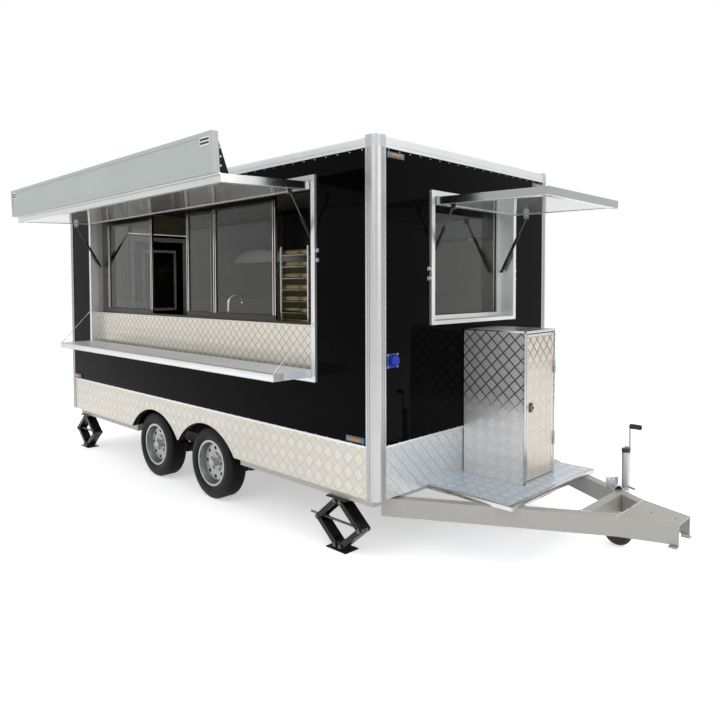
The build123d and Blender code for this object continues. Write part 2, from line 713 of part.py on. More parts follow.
def hatch_brackets(hatch):
    """Brackets on the inner face of a hatch: a foot, a plate and a pin for the upper eye of a strut."""
    closed = strut_ends(hatch)[2]
    near = STRUT_FROM_JAMB + EYE_WIDTH / 2 + RUNNING_GAP
    far = STRUT_FROM_JAMB - EYE_WIDTH / 2
    plates = []
    for face, into in jambs(hatch):
        along = sorted((face + into * near, face + into * (near + BRACKET)))
        out = sorted((-PANEL_THICKNESS, closed[0] - EYE_RADIUS))
        height = (closed[1] - 2 * EYE_RADIUS, closed[1] + 2 * EYE_RADIUS)
        low = strut_point(hatch, along[0], (out[0], height[0]))
        high = strut_point(hatch, along[1], (out[1], height[1]))
        pin = [strut_point(hatch, face + into * reach, closed) for reach in (near + BRACKET / 2, far)]
        edge = near + BRACKET
        foot_along = sorted((face + into * (edge - BRACKET_FOOT_WIDTH), face + into * edge))
        foot_out = -PANEL_THICKNESS - BRACKET_FOOT_SHEET, -PANEL_THICKNESS
        foot_low = strut_point(hatch, foot_along[0], (foot_out[0], closed[1] - BRACKET_FOOT / 2))
        foot_high = strut_point(hatch, foot_along[1], (foot_out[1], closed[1] + BRACKET_FOOT / 2))
        plates.append(bar(*zip(low, high)) + bar(*zip(foot_low, foot_high)) + rod(*pin, PIN_RADIUS))
    return plates


def service_hatch():
    """Service hatch with the knuckle of the sign board and the strut brackets, open."""
    y = (Y_SERVICE, inward(PANEL_THICKNESS))
    panel = bar(HATCH_X, y, (HATCH_AXIS_Z - HATCH_LENGTH, HATCH_AXIS_Z))
    panel -= groove((SERVICE_X[0], Y_SERVICE, HATCH_AXIS_Z), (SERVICE_X[1], Y_SERVICE, HATCH_AXIS_Z))
    knuckle = ((HATCH_X[0], Y_SERVICE, SIGN_AXIS_Z), (HATCH_X[1], Y_SERVICE, SIGN_AXIS_Z))
    panel += rod(*knuckle, KNUCKLE_RADIUS)
    leaf_y = (Y_SERVICE, inward(KNUCKLE_RADIUS))
    panel += bar(HATCH_X, leaf_y, (SIGN_AXIS_Z, SIGN_AXIS_Z + KNUCKLE_DROP))
    for plate in hatch_brackets("service"):
        panel += plate
    return opened(panel, "service")


def sign_board():
    """Sign board with a raised rim round its face and a stop gusset at each end, folded up."""
    z = (SIGN_AXIS_Z - SIGN_HEIGHT, SIGN_AXIS_Z)
    face_y = inward(SIGN_THICKNESS)
    board = bar(HATCH_X, (Y_SERVICE, face_y), z)
    face = (grown(HATCH_X, -SIGN_RIM), (face_y - SIGN_RECESS, face_y + SIGN_RECESS), grown(z, -SIGN_RIM))
    board -= bar(*face)
    board -= groove((SERVICE_X[0], Y_SERVICE, SIGN_AXIS_Z), (SERVICE_X[1], Y_SERVICE, SIGN_AXIS_Z))
    foot = SIGN_AXIS_Z - RUNNING_GAP
    outline = [
        (Y_SERVICE, foot - 2 * KNUCKLE_RADIUS),
        (Y_SERVICE - GUSSET_FOOT / 4, foot),
        (Y_SERVICE - GUSSET_FOOT, foot),
        (Y_SERVICE, foot - GUSSET_RISE),
    ]
    for start in (HATCH_X[0], HATCH_X[1] - GUSSET):
        board += slab_x(outline, (start, start + GUSSET))
    return opened(folded_up(board), "service")


def counter_shelf():
    """Folding shelf below the windows, laid out level."""
    panel = bar(HATCH_X, (inward(-SHELF_DEPTH), Y_SERVICE), (SHELF_AXIS_Z, SHELF_AXIS_Z + PANEL_THICKNESS))
    return panel - groove((SERVICE_X[0], Y_SERVICE, SHELF_AXIS_Z), (SERVICE_X[1], Y_SERVICE, SHELF_AXIS_Z))


def shelf_stays():
    """Wire stays from the frame to the outer corners of the shelf."""
    stays = []
    anchor_y = inward(-FRAME_PROUD - STAY_RADIUS)
    foot_y = inward(STAY_INSET - SHELF_DEPTH)
    foot_z = SHELF_AXIS_Z + PANEL_THICKNESS + STAY_RADIUS
    for face, into in jambs("service"):
        anchor = (face - into * STAY_INSET, anchor_y, SHELF_AXIS_Z + STAY_ANCHOR_RISE)
        foot = (face + into * (HATCH_GAP + STAY_INSET), foot_y, foot_z)
        stays.append(rod(anchor, foot, STAY_RADIUS))
    return stays


def front_hatch():
    """Front hatch with its strut brackets, open."""
    z = (FRONT_AXIS_Z - FRONT_HATCH_LENGTH, FRONT_AXIS_Z)
    panel = bar((back(PANEL_THICKNESS), X_FRONT), FRONT_HATCH_Y, z)
    panel -= groove((X_FRONT, FRONT_Y[0], FRONT_AXIS_Z), (X_FRONT, FRONT_Y[1], FRONT_AXIS_Z))
    for plate in hatch_brackets("front"):
        panel += plate
    return opened(panel, "front")


def eye(hatch, along, place, width):
    """A plain eye of a strut across the hinge line, with its hole."""
    low = strut_point(hatch, along - width / 2, place)
    high = strut_point(hatch, along + width / 2, place)
    return rod(low, high, EYE_RADIUS), rod(low, high, PIN_RADIUS + RUNNING_GAP)


def strut_lines(hatch):
    """For both struts of a hatch: place along the hinge, lower point, upper point and direction."""
    lower, upper, _ = strut_ends(hatch)
    lines = []
    for face, into in jambs(hatch):
        along = face + into * STRUT_FROM_JAMB
        start = Vector(*strut_point(hatch, along, lower))
        end = Vector(*strut_point(hatch, along, upper))
        lines.append((along, start, end, (end - start).normalized()))
    return lines


def shut_length(hatch):
    """Length of a strut from eye to eye with its hatch shut."""
    lower, _, closed = strut_ends(hatch)
    return math.dist(lower, closed)


def strut_barrels(hatch):
    """Barrels of the two struts, each bored for its rod."""
    lower = strut_ends(hatch)[0]
    barrels = []
    for along, start, _, line in strut_lines(hatch):
        body, hole = eye(hatch, along, lower, 2 * STRUT_RADIUS)
        foot = start + line * (EYE_RADIUS + EYE_NECK)
        top = start + line * (shut_length(hatch) - 2 * STRUT_RADIUS)
        bore = rod(foot + line * STRUT_RADIUS, top, ROD_RADIUS + RUNNING_GAP)
        neck = rod(start + line * EYE_NECK, foot + line * EYE_NECK, ROD_RADIUS)
        barrels.append(body - hole + neck + rod(foot, top, STRUT_RADIUS) - bore)
    return barrels


def strut_rods(hatch):
    """Rods of the two struts with their upper eyes, as long as the bore of the barrel allows."""
    upper = strut_ends(hatch)[1]
    length = shut_length(hatch) - EYE_RADIUS - EYE_NECK - STRUT_RADIUS - ROD_RADIUS
    rods = []
    for along, _, end, line in strut_lines(hatch):
        body, hole = eye(hatch, along, upper, EYE_WIDTH)
        shaft = rod(end - line * length, end - line * EYE_NECK, ROD_RADIUS)
        rods.append(body - hole + shaft)
    return rods


# Running gear

def chassis_rails():
    """Main rails between the end beams, and side sills in front of and behind the wheels."""
    z = (Z_BASE - CHASSIS_DEPTH, Z_BASE)
    x = (X_REAR + POST + END_BEAM, X_FRONT - POST - END_BEAM)
    rail = bar(x, (inward(CHASSIS_RAIL_INSET), inward(CHASSIS_RAIL_INSET + CHASSIS_RAIL)), z)
    wells = well_limits()[0]
    sill_y = (inward(SILL_INSET), inward(SILL_INSET + SILL_WIDTH))
    sill_z = (Z_BASE - SILL_DEPTH, Z_BASE)
    sills = [bar(span, sill_y, sill_z) for span in ((x[0], wells[0]), (wells[1], x[1]))]
    return both_sides([rail, *sills])


def chassis_crossmembers():
    """End beams under the full width, tubes between the main rails and outriggers to the sills."""
    z = (Z_BASE - SILL_DEPTH, Z_BASE)
    wide_y = (inward(SILL_INSET), Y_OFF - SILL_INSET)
    ends = (X_REAR + POST, X_FRONT - POST - END_BEAM)
    beams = [bar((x, x + END_BEAM), wide_y, z) for x in ends]
    inner_y = (inward(CHASSIS_RAIL_INSET + CHASSIS_RAIL), Y_OFF - CHASSIS_RAIL_INSET - CHASSIS_RAIL)
    cross_z = (Z_BASE - CROSS_DEPTH, Z_BASE)
    pitch = (ends[1] - ends[0] - END_BEAM) / (CROSS_COUNT + 1)
    for index in range(CROSS_COUNT):
        x = ends[0] + END_BEAM + (index + 1) * pitch
        beams.append(bar((x - CROSS_WIDTH / 2, x + CROSS_WIDTH / 2), inner_y, cross_z))
    wells = well_limits()[0]
    outrigger_y = (inward(SILL_INSET + SILL_WIDTH), inward(CHASSIS_RAIL_INSET))
    outriggers = [
        bar((x, x + CROSS_WIDTH), outrigger_y, z) for x in (wells[0] - CROSS_WIDTH, wells[1])
    ]
    return beams + both_sides(outriggers)


def drawbar():
    """A-frame of two rails that meet in an open nose with a foot on each cheek, and one tie."""
    z = (Z_BASE - DRAWBAR_DROP - DRAWBAR_DEPTH, Z_BASE - DRAWBAR_DROP)
    root = X_FRONT - POST
    root_half = DRAWBAR_ROOT_HALF + math.tan(RAIL_ANGLE) * POST
    bend = X_FRONT + DRAWBAR_BEND_REACH
    tip = X_FRONT + DRAWBAR_REACH
    width = DRAWBAR_RAIL / math.cos(RAIL_ANGLE)
    rail = [
        (root, Y_MID - root_half),
        (bend, Y_MID - DRAWBAR_BEND_HALF),
        (bend, Y_MID - DRAWBAR_BEND_HALF + width),
        (root, Y_MID - root_half + width),
    ]
    cheek = [
        (bend, Y_MID - DRAWBAR_BEND_HALF),
        (tip, Y_MID - DRAWBAR_TIP_HALF),
        (tip, Y_MID - DRAWBAR_TIP_HALF + NOSE_PLATE),
        (bend, Y_MID - DRAWBAR_BEND_HALF + 2 * NOSE_PLATE),
    ]
    lid = [
        (bend - NOSE_PLATE, Y_MID - DRAWBAR_BEND_HALF),
        (tip, Y_MID - DRAWBAR_TIP_HALF),
        (tip, Y_MID + DRAWBAR_TIP_HALF),
        (bend - NOSE_PLATE, Y_MID + DRAWBAR_BEND_HALF),
    ]
    foot_x = (tip - NOSE_FOOT, tip)
    foot_y = (Y_MID - DRAWBAR_TIP_HALF - NOSE_FOOT_WIDTH, Y_MID - DRAWBAR_TIP_HALF + NOSE_PLATE)
    foot_z = z[0] - NOSE_FOOT_DROP
    foot = bar(foot_x, foot_y, (foot_z, foot_z + NOSE_PLATE))
    foot += bar(foot_x, (foot_y[1] - NOSE_PLATE, foot_y[1]), (foot_z, z[0] + NOSE_PLATE))
    frame = slab_z(rail, z) + slab_z(cheek, z) + foot
    frame += mirrored(frame)
    frame += slab_z(lid, (z[1] - NOSE_PLATE, z[1]))
    tie_x = (X_FRONT + TIE_REACH, X_FRONT + TIE_REACH + TIE_WIDTH)
    inner = [DRAWBAR_ROOT_HALF - math.tan(RAIL_ANGLE) * (x - X_FRONT) - width / 2 for x in tie_x]
    tie = [
        (tie_x[0], Y_MID - inner[0]),
        (tie_x[1], Y_MID - inner[1]),
        (tie_x[1], Y_MID + inner[1]),
        (tie_x[0], Y_MID + inner[0]),
    ]
    frame += slab_z(tie, z)
    for offset in (0, COUPLER_HOLE_SPACING):
        x = tip - COUPLER_HOLE_FROM_TIP - offset
        frame -= Pos(x, Y_MID, z[1]) * Cylinder(COUPLER_HOLE_RADIUS, 4 * NOSE_PLATE)
    return frame


def drawbar_platform():
    """Chequer plate tray on the drawbar, with a lip turned down along its front and sides."""
    y = (Y_MID - PLATFORM_WIDTH / 2, Y_MID + PLATFORM_WIDTH / 2)
    x = (X_FRONT, X_FRONT + PLATFORM_REACH)
    z = (Z_BASE - DRAWBAR_DROP, up(PLATFORM_RISE))
    hollow = (x[0] - WALL, x[1] - PLATFORM_SHEET), grown(y, -PLATFORM_SHEET), (z[0], z[1] - PLATFORM_SHEET)
    return bar(x, y, z) - bar(*hollow)


def gas_box():
    """Tall sheet box on the drawbar platform, open at the front inside a rim."""
    x = (GAS_BOX_X[0], GAS_BOX_X[1])
    shell = bar(x, GAS_BOX_Y, GAS_BOX_Z)
    cavity_x = (x[0] + GAS_BOX_SHEET, x[1] - GAS_BOX_DOOR - GAS_BOX_SHEET)
    shell -= bar(cavity_x, grown(GAS_BOX_Y, -GAS_BOX_SHEET), grown(GAS_BOX_Z, -GAS_BOX_SHEET))
    shell -= bar((cavity_x[0], x[1] + WALL), grown(GAS_BOX_Y, -GAS_BOX_RIM), grown(GAS_BOX_Z, -GAS_BOX_RIM))
    for fixed in door_hinges(*gas_box_hinge())[0]:
        shell += fixed
    return shell


def gas_box_door():
    """Door of the gas bottle box with its hinge halves and turn lock."""
    x = (GAS_BOX_X[1] - GAS_BOX_DOOR, GAS_BOX_X[1])
    y = grown(GAS_BOX_Y, -GAS_BOX_RIM - DOOR_GAP)
    z = grown(GAS_BOX_Z, -GAS_BOX_RIM - DOOR_GAP)
    leaf = bar(x, y, z)
    for half in door_hinges(*gas_box_hinge())[1]:
        leaf += half
    lock = (x[1], y[0] + 2 * HINGE_LEAF, (z[0] + z[1]) / 2)
    leaf += rod(lock, (lock[0] + 2 * HINGE_RADIUS, lock[1], lock[2]), 2 * HINGE_RADIUS)
    return leaf


def gas_box_hinge():
    """Hinge line of the gas box door: outer face, gap middle, heights, outward sign and leaf width."""
    middle = GAS_BOX_Y[1] - GAS_BOX_RIM - DOOR_GAP / 2
    quarter = GAS_BOX_HEIGHT / 4
    heights = (GAS_BOX_Z[0] + quarter, GAS_BOX_Z[1] - quarter)
    return GAS_BOX_X[1], middle, heights, 1, GAS_BOX_LEAF


def rear_door_hinge():
    """Hinge line of the rear door: outer face, gap middle, heights, outward sign and leaf width."""
    fifth = DOOR_HEIGHT / 5
    heights = (DOOR_Z[0] + fifth, (DOOR_Z[0] + DOOR_Z[1]) / 2, DOOR_Z[1] - fifth)
    return X_REAR - DOOR_PROUD, DOOR_Y[1] + DOOR_GAP / 2, heights, -1, HINGE_LEAF


def door_hinges(face, middle, heights, outward, width):
    """Fixed halves and door halves of upright hinges on a flush door whose frame is on the +Y side."""
    fixed = []
    moving = []
    axis_x = face + outward * HINGE_RADIUS
    sheet_x = sorted((face, face + outward * HINGE_SHEET))
    half = HINGE_LENGTH / 2
    for height in heights:
        for low, side, found in ((height - half, 1, fixed), (height, -1, moving)):
            z = (low, low + half - RUNNING_GAP)
            barrel = rod((axis_x, middle, z[0]), (axis_x, middle, z[1]), HINGE_RADIUS - RUNNING_GAP)
            near = middle + side * DOOR_GAP / 2
            leaf_y = sorted((middle, near + side * width))
            found.append(barrel + bar(sheet_x, leaf_y, z))
    return fixed, moving


def rear_door_frame():
    """Flanged frame of the rear door with the fixed hinge halves."""
    outer_y = grown(DOOR_Y, DOOR_GAP + DOOR_FLANGE)
    outer_z = (Z_FLOOR, DOOR_Z[1] + DOOR_GAP + DOOR_FLANGE)
    flange = ((X_REAR - DOOR_PROUD, X_REAR + PANEL_INSET), outer_y, outer_z)
    sleeve_z = (Z_FLOOR, DOOR_Z[1] + DOOR_GAP + FRAME_SLEEVE)
    sleeve = ((X_REAR, X_REAR + WALL_SPAN[1]), grown(DOOR_Y, DOOR_GAP + FRAME_SLEEVE), sleeve_z)
    clear = ((X_REAR - WALL, X_REAR + 2 * WALL), grown(DOOR_Y, DOOR_GAP), (Z_BASE, DOOR_Z[1] + DOOR_GAP))
    frame = ring(flange, sleeve, clear)
    for half in door_hinges(*rear_door_hinge())[0]:
        frame += half
    return frame


def rear_door():
    """Leaf of the rear door with its hinge halves and a bow handle."""
    face = X_REAR - DOOR_PROUD
    leaf = bar((face, face + DOOR_THICKNESS), DOOR_Y, DOOR_Z)
    for half in door_hinges(*rear_door_hinge())[1]:
        leaf += half
    y = DOOR_Y[0] + 2 * HINGE_LEAF
    z = DOOR_Z[0] + HANDLE_HEIGHT
    grip_x = face - 4 * HINGE_RADIUS
    for side in (-1, 1):
        foot = z + side * HINGE_LENGTH
        leaf += rod((face, y, foot), (grip_x, y, foot), HINGE_RADIUS)
    ends = z - HINGE_LENGTH - HINGE_RADIUS, z + HINGE_LENGTH + HINGE_RADIUS
    return leaf + rod((grip_x, y, ends[0]), (grip_x, y, ends[1]), HINGE_RADIUS)


def axles():
    """Torsion axles: a square tube under the main rails with a trailing arm and spindle at each end."""
    tube_y = (inward(CHASSIS_RAIL_INSET - ARM_WIDTH), Y_OFF - CHASSIS_RAIL_INSET + ARM_WIDTH)
    top = Z_BASE - CHASSIS_DEPTH
    solids = []
    for wheel_x in AXLES_X.values():
        x = wheel_x + AXLE_TRAIL
        axle = bar((x - AXLE_TUBE / 2, x + AXLE_TUBE / 2), tube_y, (top - AXLE_TUBE, top))
        pivot = (x, top - AXLE_TUBE / 2)
        arm_y = (inward(CHASSIS_RAIL_INSET - 2 * ARM_WIDTH), inward(CHASSIS_RAIL_INSET - ARM_WIDTH))
        arm = trailing_arm(pivot, (wheel_x, TYRE_RADIUS), arm_y)
        spindle_end = WHEEL_Y["right"] - SPINDLE_REACH
        arm += rod((wheel_x, arm_y[0], TYRE_RADIUS), (wheel_x, spindle_end, TYRE_RADIUS), SPINDLE_RADIUS)
        solids.append(axle + arm + mirrored(arm))
    return solids


def trailing_arm(pivot, wheel, y):
    """A flat arm with round ends between two points in X and Z."""
    line = Vector(wheel[0] - pivot[0], 0, wheel[1] - pivot[1])
    side = Vector(-line.Z, 0, line.X).normalized() * ARM_RADIUS
    ends = [Vector(point[0], 0, point[1]) for point in (pivot, wheel)]
    corners = [ends[0] + side, ends[1] + side, ends[1] - side, ends[0] - side]
    arm = slab_y([(corner.X, corner.Z) for corner in corners], y)
    for end in ends:
        arm += rod((end.X, y[0], end.Z), (end.X, y[1], end.Z), ARM_RADIUS)
    return arm


def tyre():
    """Road tyre about Z, with bulged side walls, round shoulders and a flat tread."""
    half = TYRE_WIDTH / 2
    bead_half = BEAD_WIDTH / 2
    tread_half = TREAD_WIDTH / 2
    shoulder_half = SHOULDER_WIDTH / 2
    shoulder = TYRE_RADIUS - SHOULDER_DROP
    seat = BEAD_RADIUS + RIM_FLANGE
    middle = (seat + shoulder) / 2
    outline = [
        Line((seat, -bead_half), (BEAD_RADIUS, -bead_half)),
        Line((BEAD_RADIUS, -bead_half), (BEAD_RADIUS, bead_half)),
        Line((BEAD_RADIUS, bead_half), (seat, bead_half)),
        ThreePointArc((seat, bead_half), (middle, half), (shoulder, shoulder_half)),
        RadiusArc((shoulder, shoulder_half), (TYRE_RADIUS, tread_half), SHOULDER_RADIUS),
        Line((TYRE_RADIUS, tread_half), (TYRE_RADIUS, -tread_half)),
        RadiusArc((TYRE_RADIUS, -tread_half), (shoulder, -shoulder_half), SHOULDER_RADIUS),
        ThreePointArc((shoulder, -shoulder_half), (middle, -half), (seat, -bead_half)),
    ]
    return revolve(Plane.XZ * make_face(outline), axis=Axis.Z)


def wheel():
    """Steel wheel about Z, outward up: rim, dished disc with round vents, hub and cap."""
    half = BEAD_WIDTH / 2
    outer = BEAD_RADIUS - RUNNING_GAP
    inner = outer - RIM_WALL
    lip = outer + RIM_FLANGE
    edge = half + RUNNING_GAP
    rim = [
        (inner, -edge - RIM_WALL),
        (lip, -edge - RIM_WALL),
        (lip, -edge),
        (outer, -edge),
        (outer, edge),
        (lip, edge),
        (lip, edge + RIM_WALL),
        (inner, edge + RIM_WALL),
    ]
    disc = [
        (0, DISC_CROWN - 2 * RIM_WALL),
        (HUB_RADIUS, DISC_CROWN - 2 * RIM_WALL),
        (VENT_CIRCLE - VENT_LAND, DISC_CROWN),
        (VENT_CIRCLE + VENT_LAND, DISC_CROWN),
        (inner + RIM_WALL / 2, 0),
        (inner + RIM_WALL / 2, -RIM_WALL),
        (VENT_CIRCLE + VENT_LAND - RIM_WALL / 2, DISC_CROWN - RIM_WALL),
        (VENT_CIRCLE - VENT_LAND + RIM_WALL / 2, DISC_CROWN - RIM_WALL),
        (HUB_RADIUS, DISC_CROWN - 3 * RIM_WALL),
        (HUB_RADIUS, -half),
        (0, -half),
    ]
    body = Part()
    for outline in (rim, disc):
        body += revolve(Plane.XZ * make_face(Polyline(*outline, close=True)), axis=Axis.Z)
    for index in range(VENT_COUNT):
        turn = Rot(0, 0, 360 * index / VENT_COUNT)
        body -= turn * Pos(VENT_CIRCLE, 0, DISC_CROWN) * Cylinder(VENT_RADIUS, 6 * RIM_WALL)
    cap_foot = DISC_CROWN - 3 * RIM_WALL
    body += rod((0, 0, cap_foot), (0, 0, cap_foot + half), HUB_CAP_RADIUS)
    return body - rod((0, 0, -half), (0, 0, SPINDLE_REACH + RUNNING_GAP), SPINDLE_RADIUS + RUNNING_GAP)


def on_hub(solid, axle, side):
    """A piece about Z moved to one of the four hubs, its outer face outwards."""
    turn = Rot(90, 0, 0) if side == "right" else Rot(-90, 0, 0)
    return Pos(AXLES_X[axle], WHEEL_Y[side], TYRE_RADIUS) * turn * solid


# Jockey wheel and corner jacks

def jockey_mount():
    """Clamp and saddle on the off-side drawbar rail, and the outer tube that they hold."""
    tube_z = (JOCKEY_TOP - JOCKEY_TUBE_LENGTH, JOCKEY_TOP)
    tube = rod((JOCKEY_X, JOCKEY_Y, tube_z[0]), (JOCKEY_X, JOCKEY_Y, tube_z[1]), JOCKEY_TUBE_RADIUS)
    bore = (JOCKEY_X, JOCKEY_Y, tube_z[0]), (JOCKEY_X, JOCKEY_Y, tube_z[0] + JOCKEY_TUBE_LENGTH / 2)
    depth = (Z_BASE - DRAWBAR_DROP - DRAWBAR_DEPTH, Z_BASE - DRAWBAR_DROP)
    reach = JOCKEY_TUBE_RADIUS + JOCKEY_CLEAR
    block = Box(3 * JOCKEY_TUBE_RADIUS, reach, depth[1] - depth[0])
    turn = Rot(0, 0, -math.degrees(RAIL_ANGLE))
    clamp = Pos(JOCKEY_X, JOCKEY_Y, (depth[0] + depth[1]) / 2) * turn * Pos(0, -reach / 2, 0) * block
    clamp += Pos(JOCKEY_X, JOCKEY_Y, depth[1]) * turn * jockey_saddle()
    return tube + clamp - rod(*bore, JOCKEY_STEM_RADIUS + RUNNING_GAP)


def jockey_saddle():
    """Half-round saddle and drilled plate on the rail's top, about the tube with the rail towards -Y."""
    half = SADDLE_LENGTH / 2
    base = -JOCKEY_TUBE_RADIUS - JOCKEY_CLEAR - SADDLE_HALF + SADDLE_SHEET / 2
    inner = SADDLE_HALF - SADDLE_SHEET
    outline = [
        ThreePointArc((base - SADDLE_HALF, 0), (base, SADDLE_HALF), (base + SADDLE_HALF, 0)),
        Line((base + SADDLE_HALF, 0), (base + inner, 0)),
        ThreePointArc((base + inner, 0), (base, inner), (base - inner, 0)),
        Line((base - inner, 0), (base - SADDLE_HALF, 0)),
    ]
    saddle = extrude(Plane.YZ.offset(-half) * make_face(outline), amount=SADDLE_LENGTH)
    plate_y = (base - SADDLE_PLATE_HALF, base + SADDLE_PLATE_HALF)
    plate = bar((-half - SADDLE_SHEET, -half + SADDLE_SHEET / 2), plate_y, (0, SADDLE_PLATE))
    hole_z = SADDLE_PLATE - 2 * SADDLE_HOLE
    for hole_y in (base - SADDLE_HALF / 2, base + SADDLE_HALF / 2):
        plate -= rod((-2 * half, hole_y, hole_z), (0, hole_y, hole_z), SADDLE_HOLE)
    strap_y = (base + inner + SADDLE_SHEET / 4, -JOCKEY_TUBE_RADIUS / 2)
    strap = bar((SADDLE_SHEET - half, half - SADDLE_SHEET), strap_y, (0, SADDLE_SHEET))
    screw_z = SADDLE_HALF / 2
    screw = rod((0, 0, screw_z), (CLAMP_SCREW, 0, screw_z), CRANK_RADIUS)
    return saddle + plate + strap + screw


def jockey_crank():
    """Crank on top of the jockey tube, its arm up and its grip forwards."""
    top = JOCKEY_TOP + 2 * CRANK_RADIUS
    arm_x = JOCKEY_X + JOCKEY_TUBE_RADIUS
    crank = rod((JOCKEY_X, JOCKEY_Y, JOCKEY_TOP), (JOCKEY_X, JOCKEY_Y, top + CRANK_RADIUS), CRANK_RADIUS)
    crank += rod((JOCKEY_X, JOCKEY_Y, top), (arm_x + CRANK_RADIUS, JOCKEY_Y, top), CRANK_RADIUS)
    crank += rod((arm_x, JOCKEY_Y, top), (arm_x, JOCKEY_Y, top + CRANK_RISE), CRANK_RADIUS)
    grip_z = top + CRANK_RISE - CRANK_RADIUS
    grip = (arm_x, JOCKEY_Y, grip_z), (arm_x + CRANK_GRIP, JOCKEY_Y, grip_z)
    return crank + rod(*grip, 2 * CRANK_RADIUS)


def jockey_fork():
    """Stem and fork that swivel in the jockey tube."""
    stem_top = JOCKEY_TOP - JOCKEY_TUBE_LENGTH / 2 - JOCKEY_CLEAR
    crown = 2 * JOCKEY_WHEEL_RADIUS + JOCKEY_CLEAR
    fork = rod((JOCKEY_X, JOCKEY_Y, crown), (JOCKEY_X, JOCKEY_Y, stem_top), JOCKEY_STEM_RADIUS)
    half = JOCKEY_WHEEL_WIDTH / 2 + FORK_GAP + FORK_SHEET
    axle_x = JOCKEY_X - JOCKEY_TRAIL
    head_x = (JOCKEY_X - JOCKEY_TRAIL - JOCKEY_STEM_RADIUS, JOCKEY_X + JOCKEY_STEM_RADIUS)
    fork += bar(head_x, (JOCKEY_Y - half, JOCKEY_Y + half), (crown - FORK_SHEET, crown))
    eye_radius = 2 * CRANK_RADIUS
    cheek = [
        (head_x[0], crown),
        (axle_x - eye_radius, JOCKEY_WHEEL_RADIUS - eye_radius),
        (axle_x + eye_radius, JOCKEY_WHEEL_RADIUS - eye_radius),
        (head_x[1], crown),
    ]
    for inner in (JOCKEY_Y - half, JOCKEY_Y + half - FORK_SHEET):
        fork += slab_y(cheek, (inner, inner + FORK_SHEET))
    pin = (axle_x, JOCKEY_Y - half, JOCKEY_WHEEL_RADIUS), (axle_x, JOCKEY_Y + half, JOCKEY_WHEEL_RADIUS)
    return fork + rod(*pin, CRANK_RADIUS)


def jockey_wheel():
    """Solid jockey wheel with a crowned tread."""
    half = JOCKEY_WHEEL_WIDTH / 2
    hub = CRANK_RADIUS + RUNNING_GAP
    rim = (JOCKEY_RIM_RADIUS, JOCKEY_RIM_WIDTH / 2)
    tread = (JOCKEY_TREAD_RADIUS, half)
    outline = [
        Line((hub, -half), (hub, half)),
        Line((hub, half), rim),
        Line(rim, tread),
        ThreePointArc(tread, (JOCKEY_WHEEL_RADIUS, 0), (tread[0], -half)),
        Line((tread[0], -half), (rim[0], -rim[1])),
        Line((rim[0], -rim[1]), (hub, -half)),
    ]
    body = revolve(Plane.XZ * make_face(outline), axis=Axis.Z)
    return Pos(JOCKEY_X - JOCKEY_TRAIL, JOCKEY_Y, JOCKEY_WHEEL_RADIUS) * Rot(90, 0, 0) * body


def jack_places():
    """Middle of each service-side corner jack along the body."""
    return (back(JACK_FROM_FRONT), X_REAR + JACK_FROM_REAR)


def jack_heights():
    """Heights of the foot pins, the screw and the head pins."""
    foot = JACK_PLATE + JACK_BLOCK / 2
    head = Z_BASE - SILL_DEPTH - JACK_PLATE - JACK_BLOCK / 2
    return foot, (foot + head) / 2, head


def jack_plates(z, block_z, block_half):
    """Base plates with a pivot block, one for each corner jack."""
    y = inward(JACK_INSET)
    plates = []
    for x in jack_places():
        half_y = JACK_FOOT_WIDTH / 2
        plate = bar((x - JACK_FOOT / 2, x + JACK_FOOT / 2), (y - half_y, y + half_y), z)
        block_x = (x - JACK_PIVOT - JACK_BLOCK / 2, x + JACK_PIVOT + JACK_BLOCK / 2)
        plates.append(plate + bar(block_x, (y - block_half, y + block_half), block_z))
    return both_sides(plates)


def jack_feet():
    """Feet of the corner jacks on the ground."""
    return jack_plates((0, JACK_PLATE), (JACK_PLATE, JACK_PLATE + JACK_BLOCK), JACK_INNER)


def jack_heads():
    """Heads of the corner jacks under the side sills."""
    top = Z_BASE - SILL_DEPTH
    block_z = (top - JACK_PLATE - JACK_BLOCK, top - JACK_PLATE)
    return jack_plates((top - JACK_PLATE, top), block_z, JACK_INNER + JACK_PLATE)


def jack_screws():
    """Screws across the corner jacks with a trunnion at each elbow and a hook for the crank."""
    y = inward(JACK_INSET)
    z = jack_heights()[1]
    screws = []
    for x in jack_places():
        ends = (x - JACK_SPREAD - JACK_HOOK, x + JACK_SPREAD + JACK_BLOCK / 2)
        screw = rod((ends[0], y, z), (ends[1], y, z), CRANK_RADIUS)
        for side in (-1, 1):
            elbow = x + side * JACK_SPREAD
            screw += rod((elbow, y - JACK_INNER, z), (elbow, y + JACK_INNER, z), JACK_TRUNNION)
        screws.append(screw)
    return both_sides(screws)


def jack_arms():
    """Arms of the corner jacks: lower pairs inside upper pairs, each of two bars and a web."""
    foot, middle, head = jack_heights()
    arms = []
    for x in jack_places():
        for side in (-1, 1):
            elbow = (x + side * JACK_SPREAD, middle)
            # Height of the far pivot and distance of the bars from the jack's middle plane
            for height, inner in ((foot, JACK_INNER), (head, JACK_INNER + JACK_PLATE)):
                arms.append(jack_arm((x + side * JACK_PIVOT, height), elbow, inner))
    return both_sides(arms)


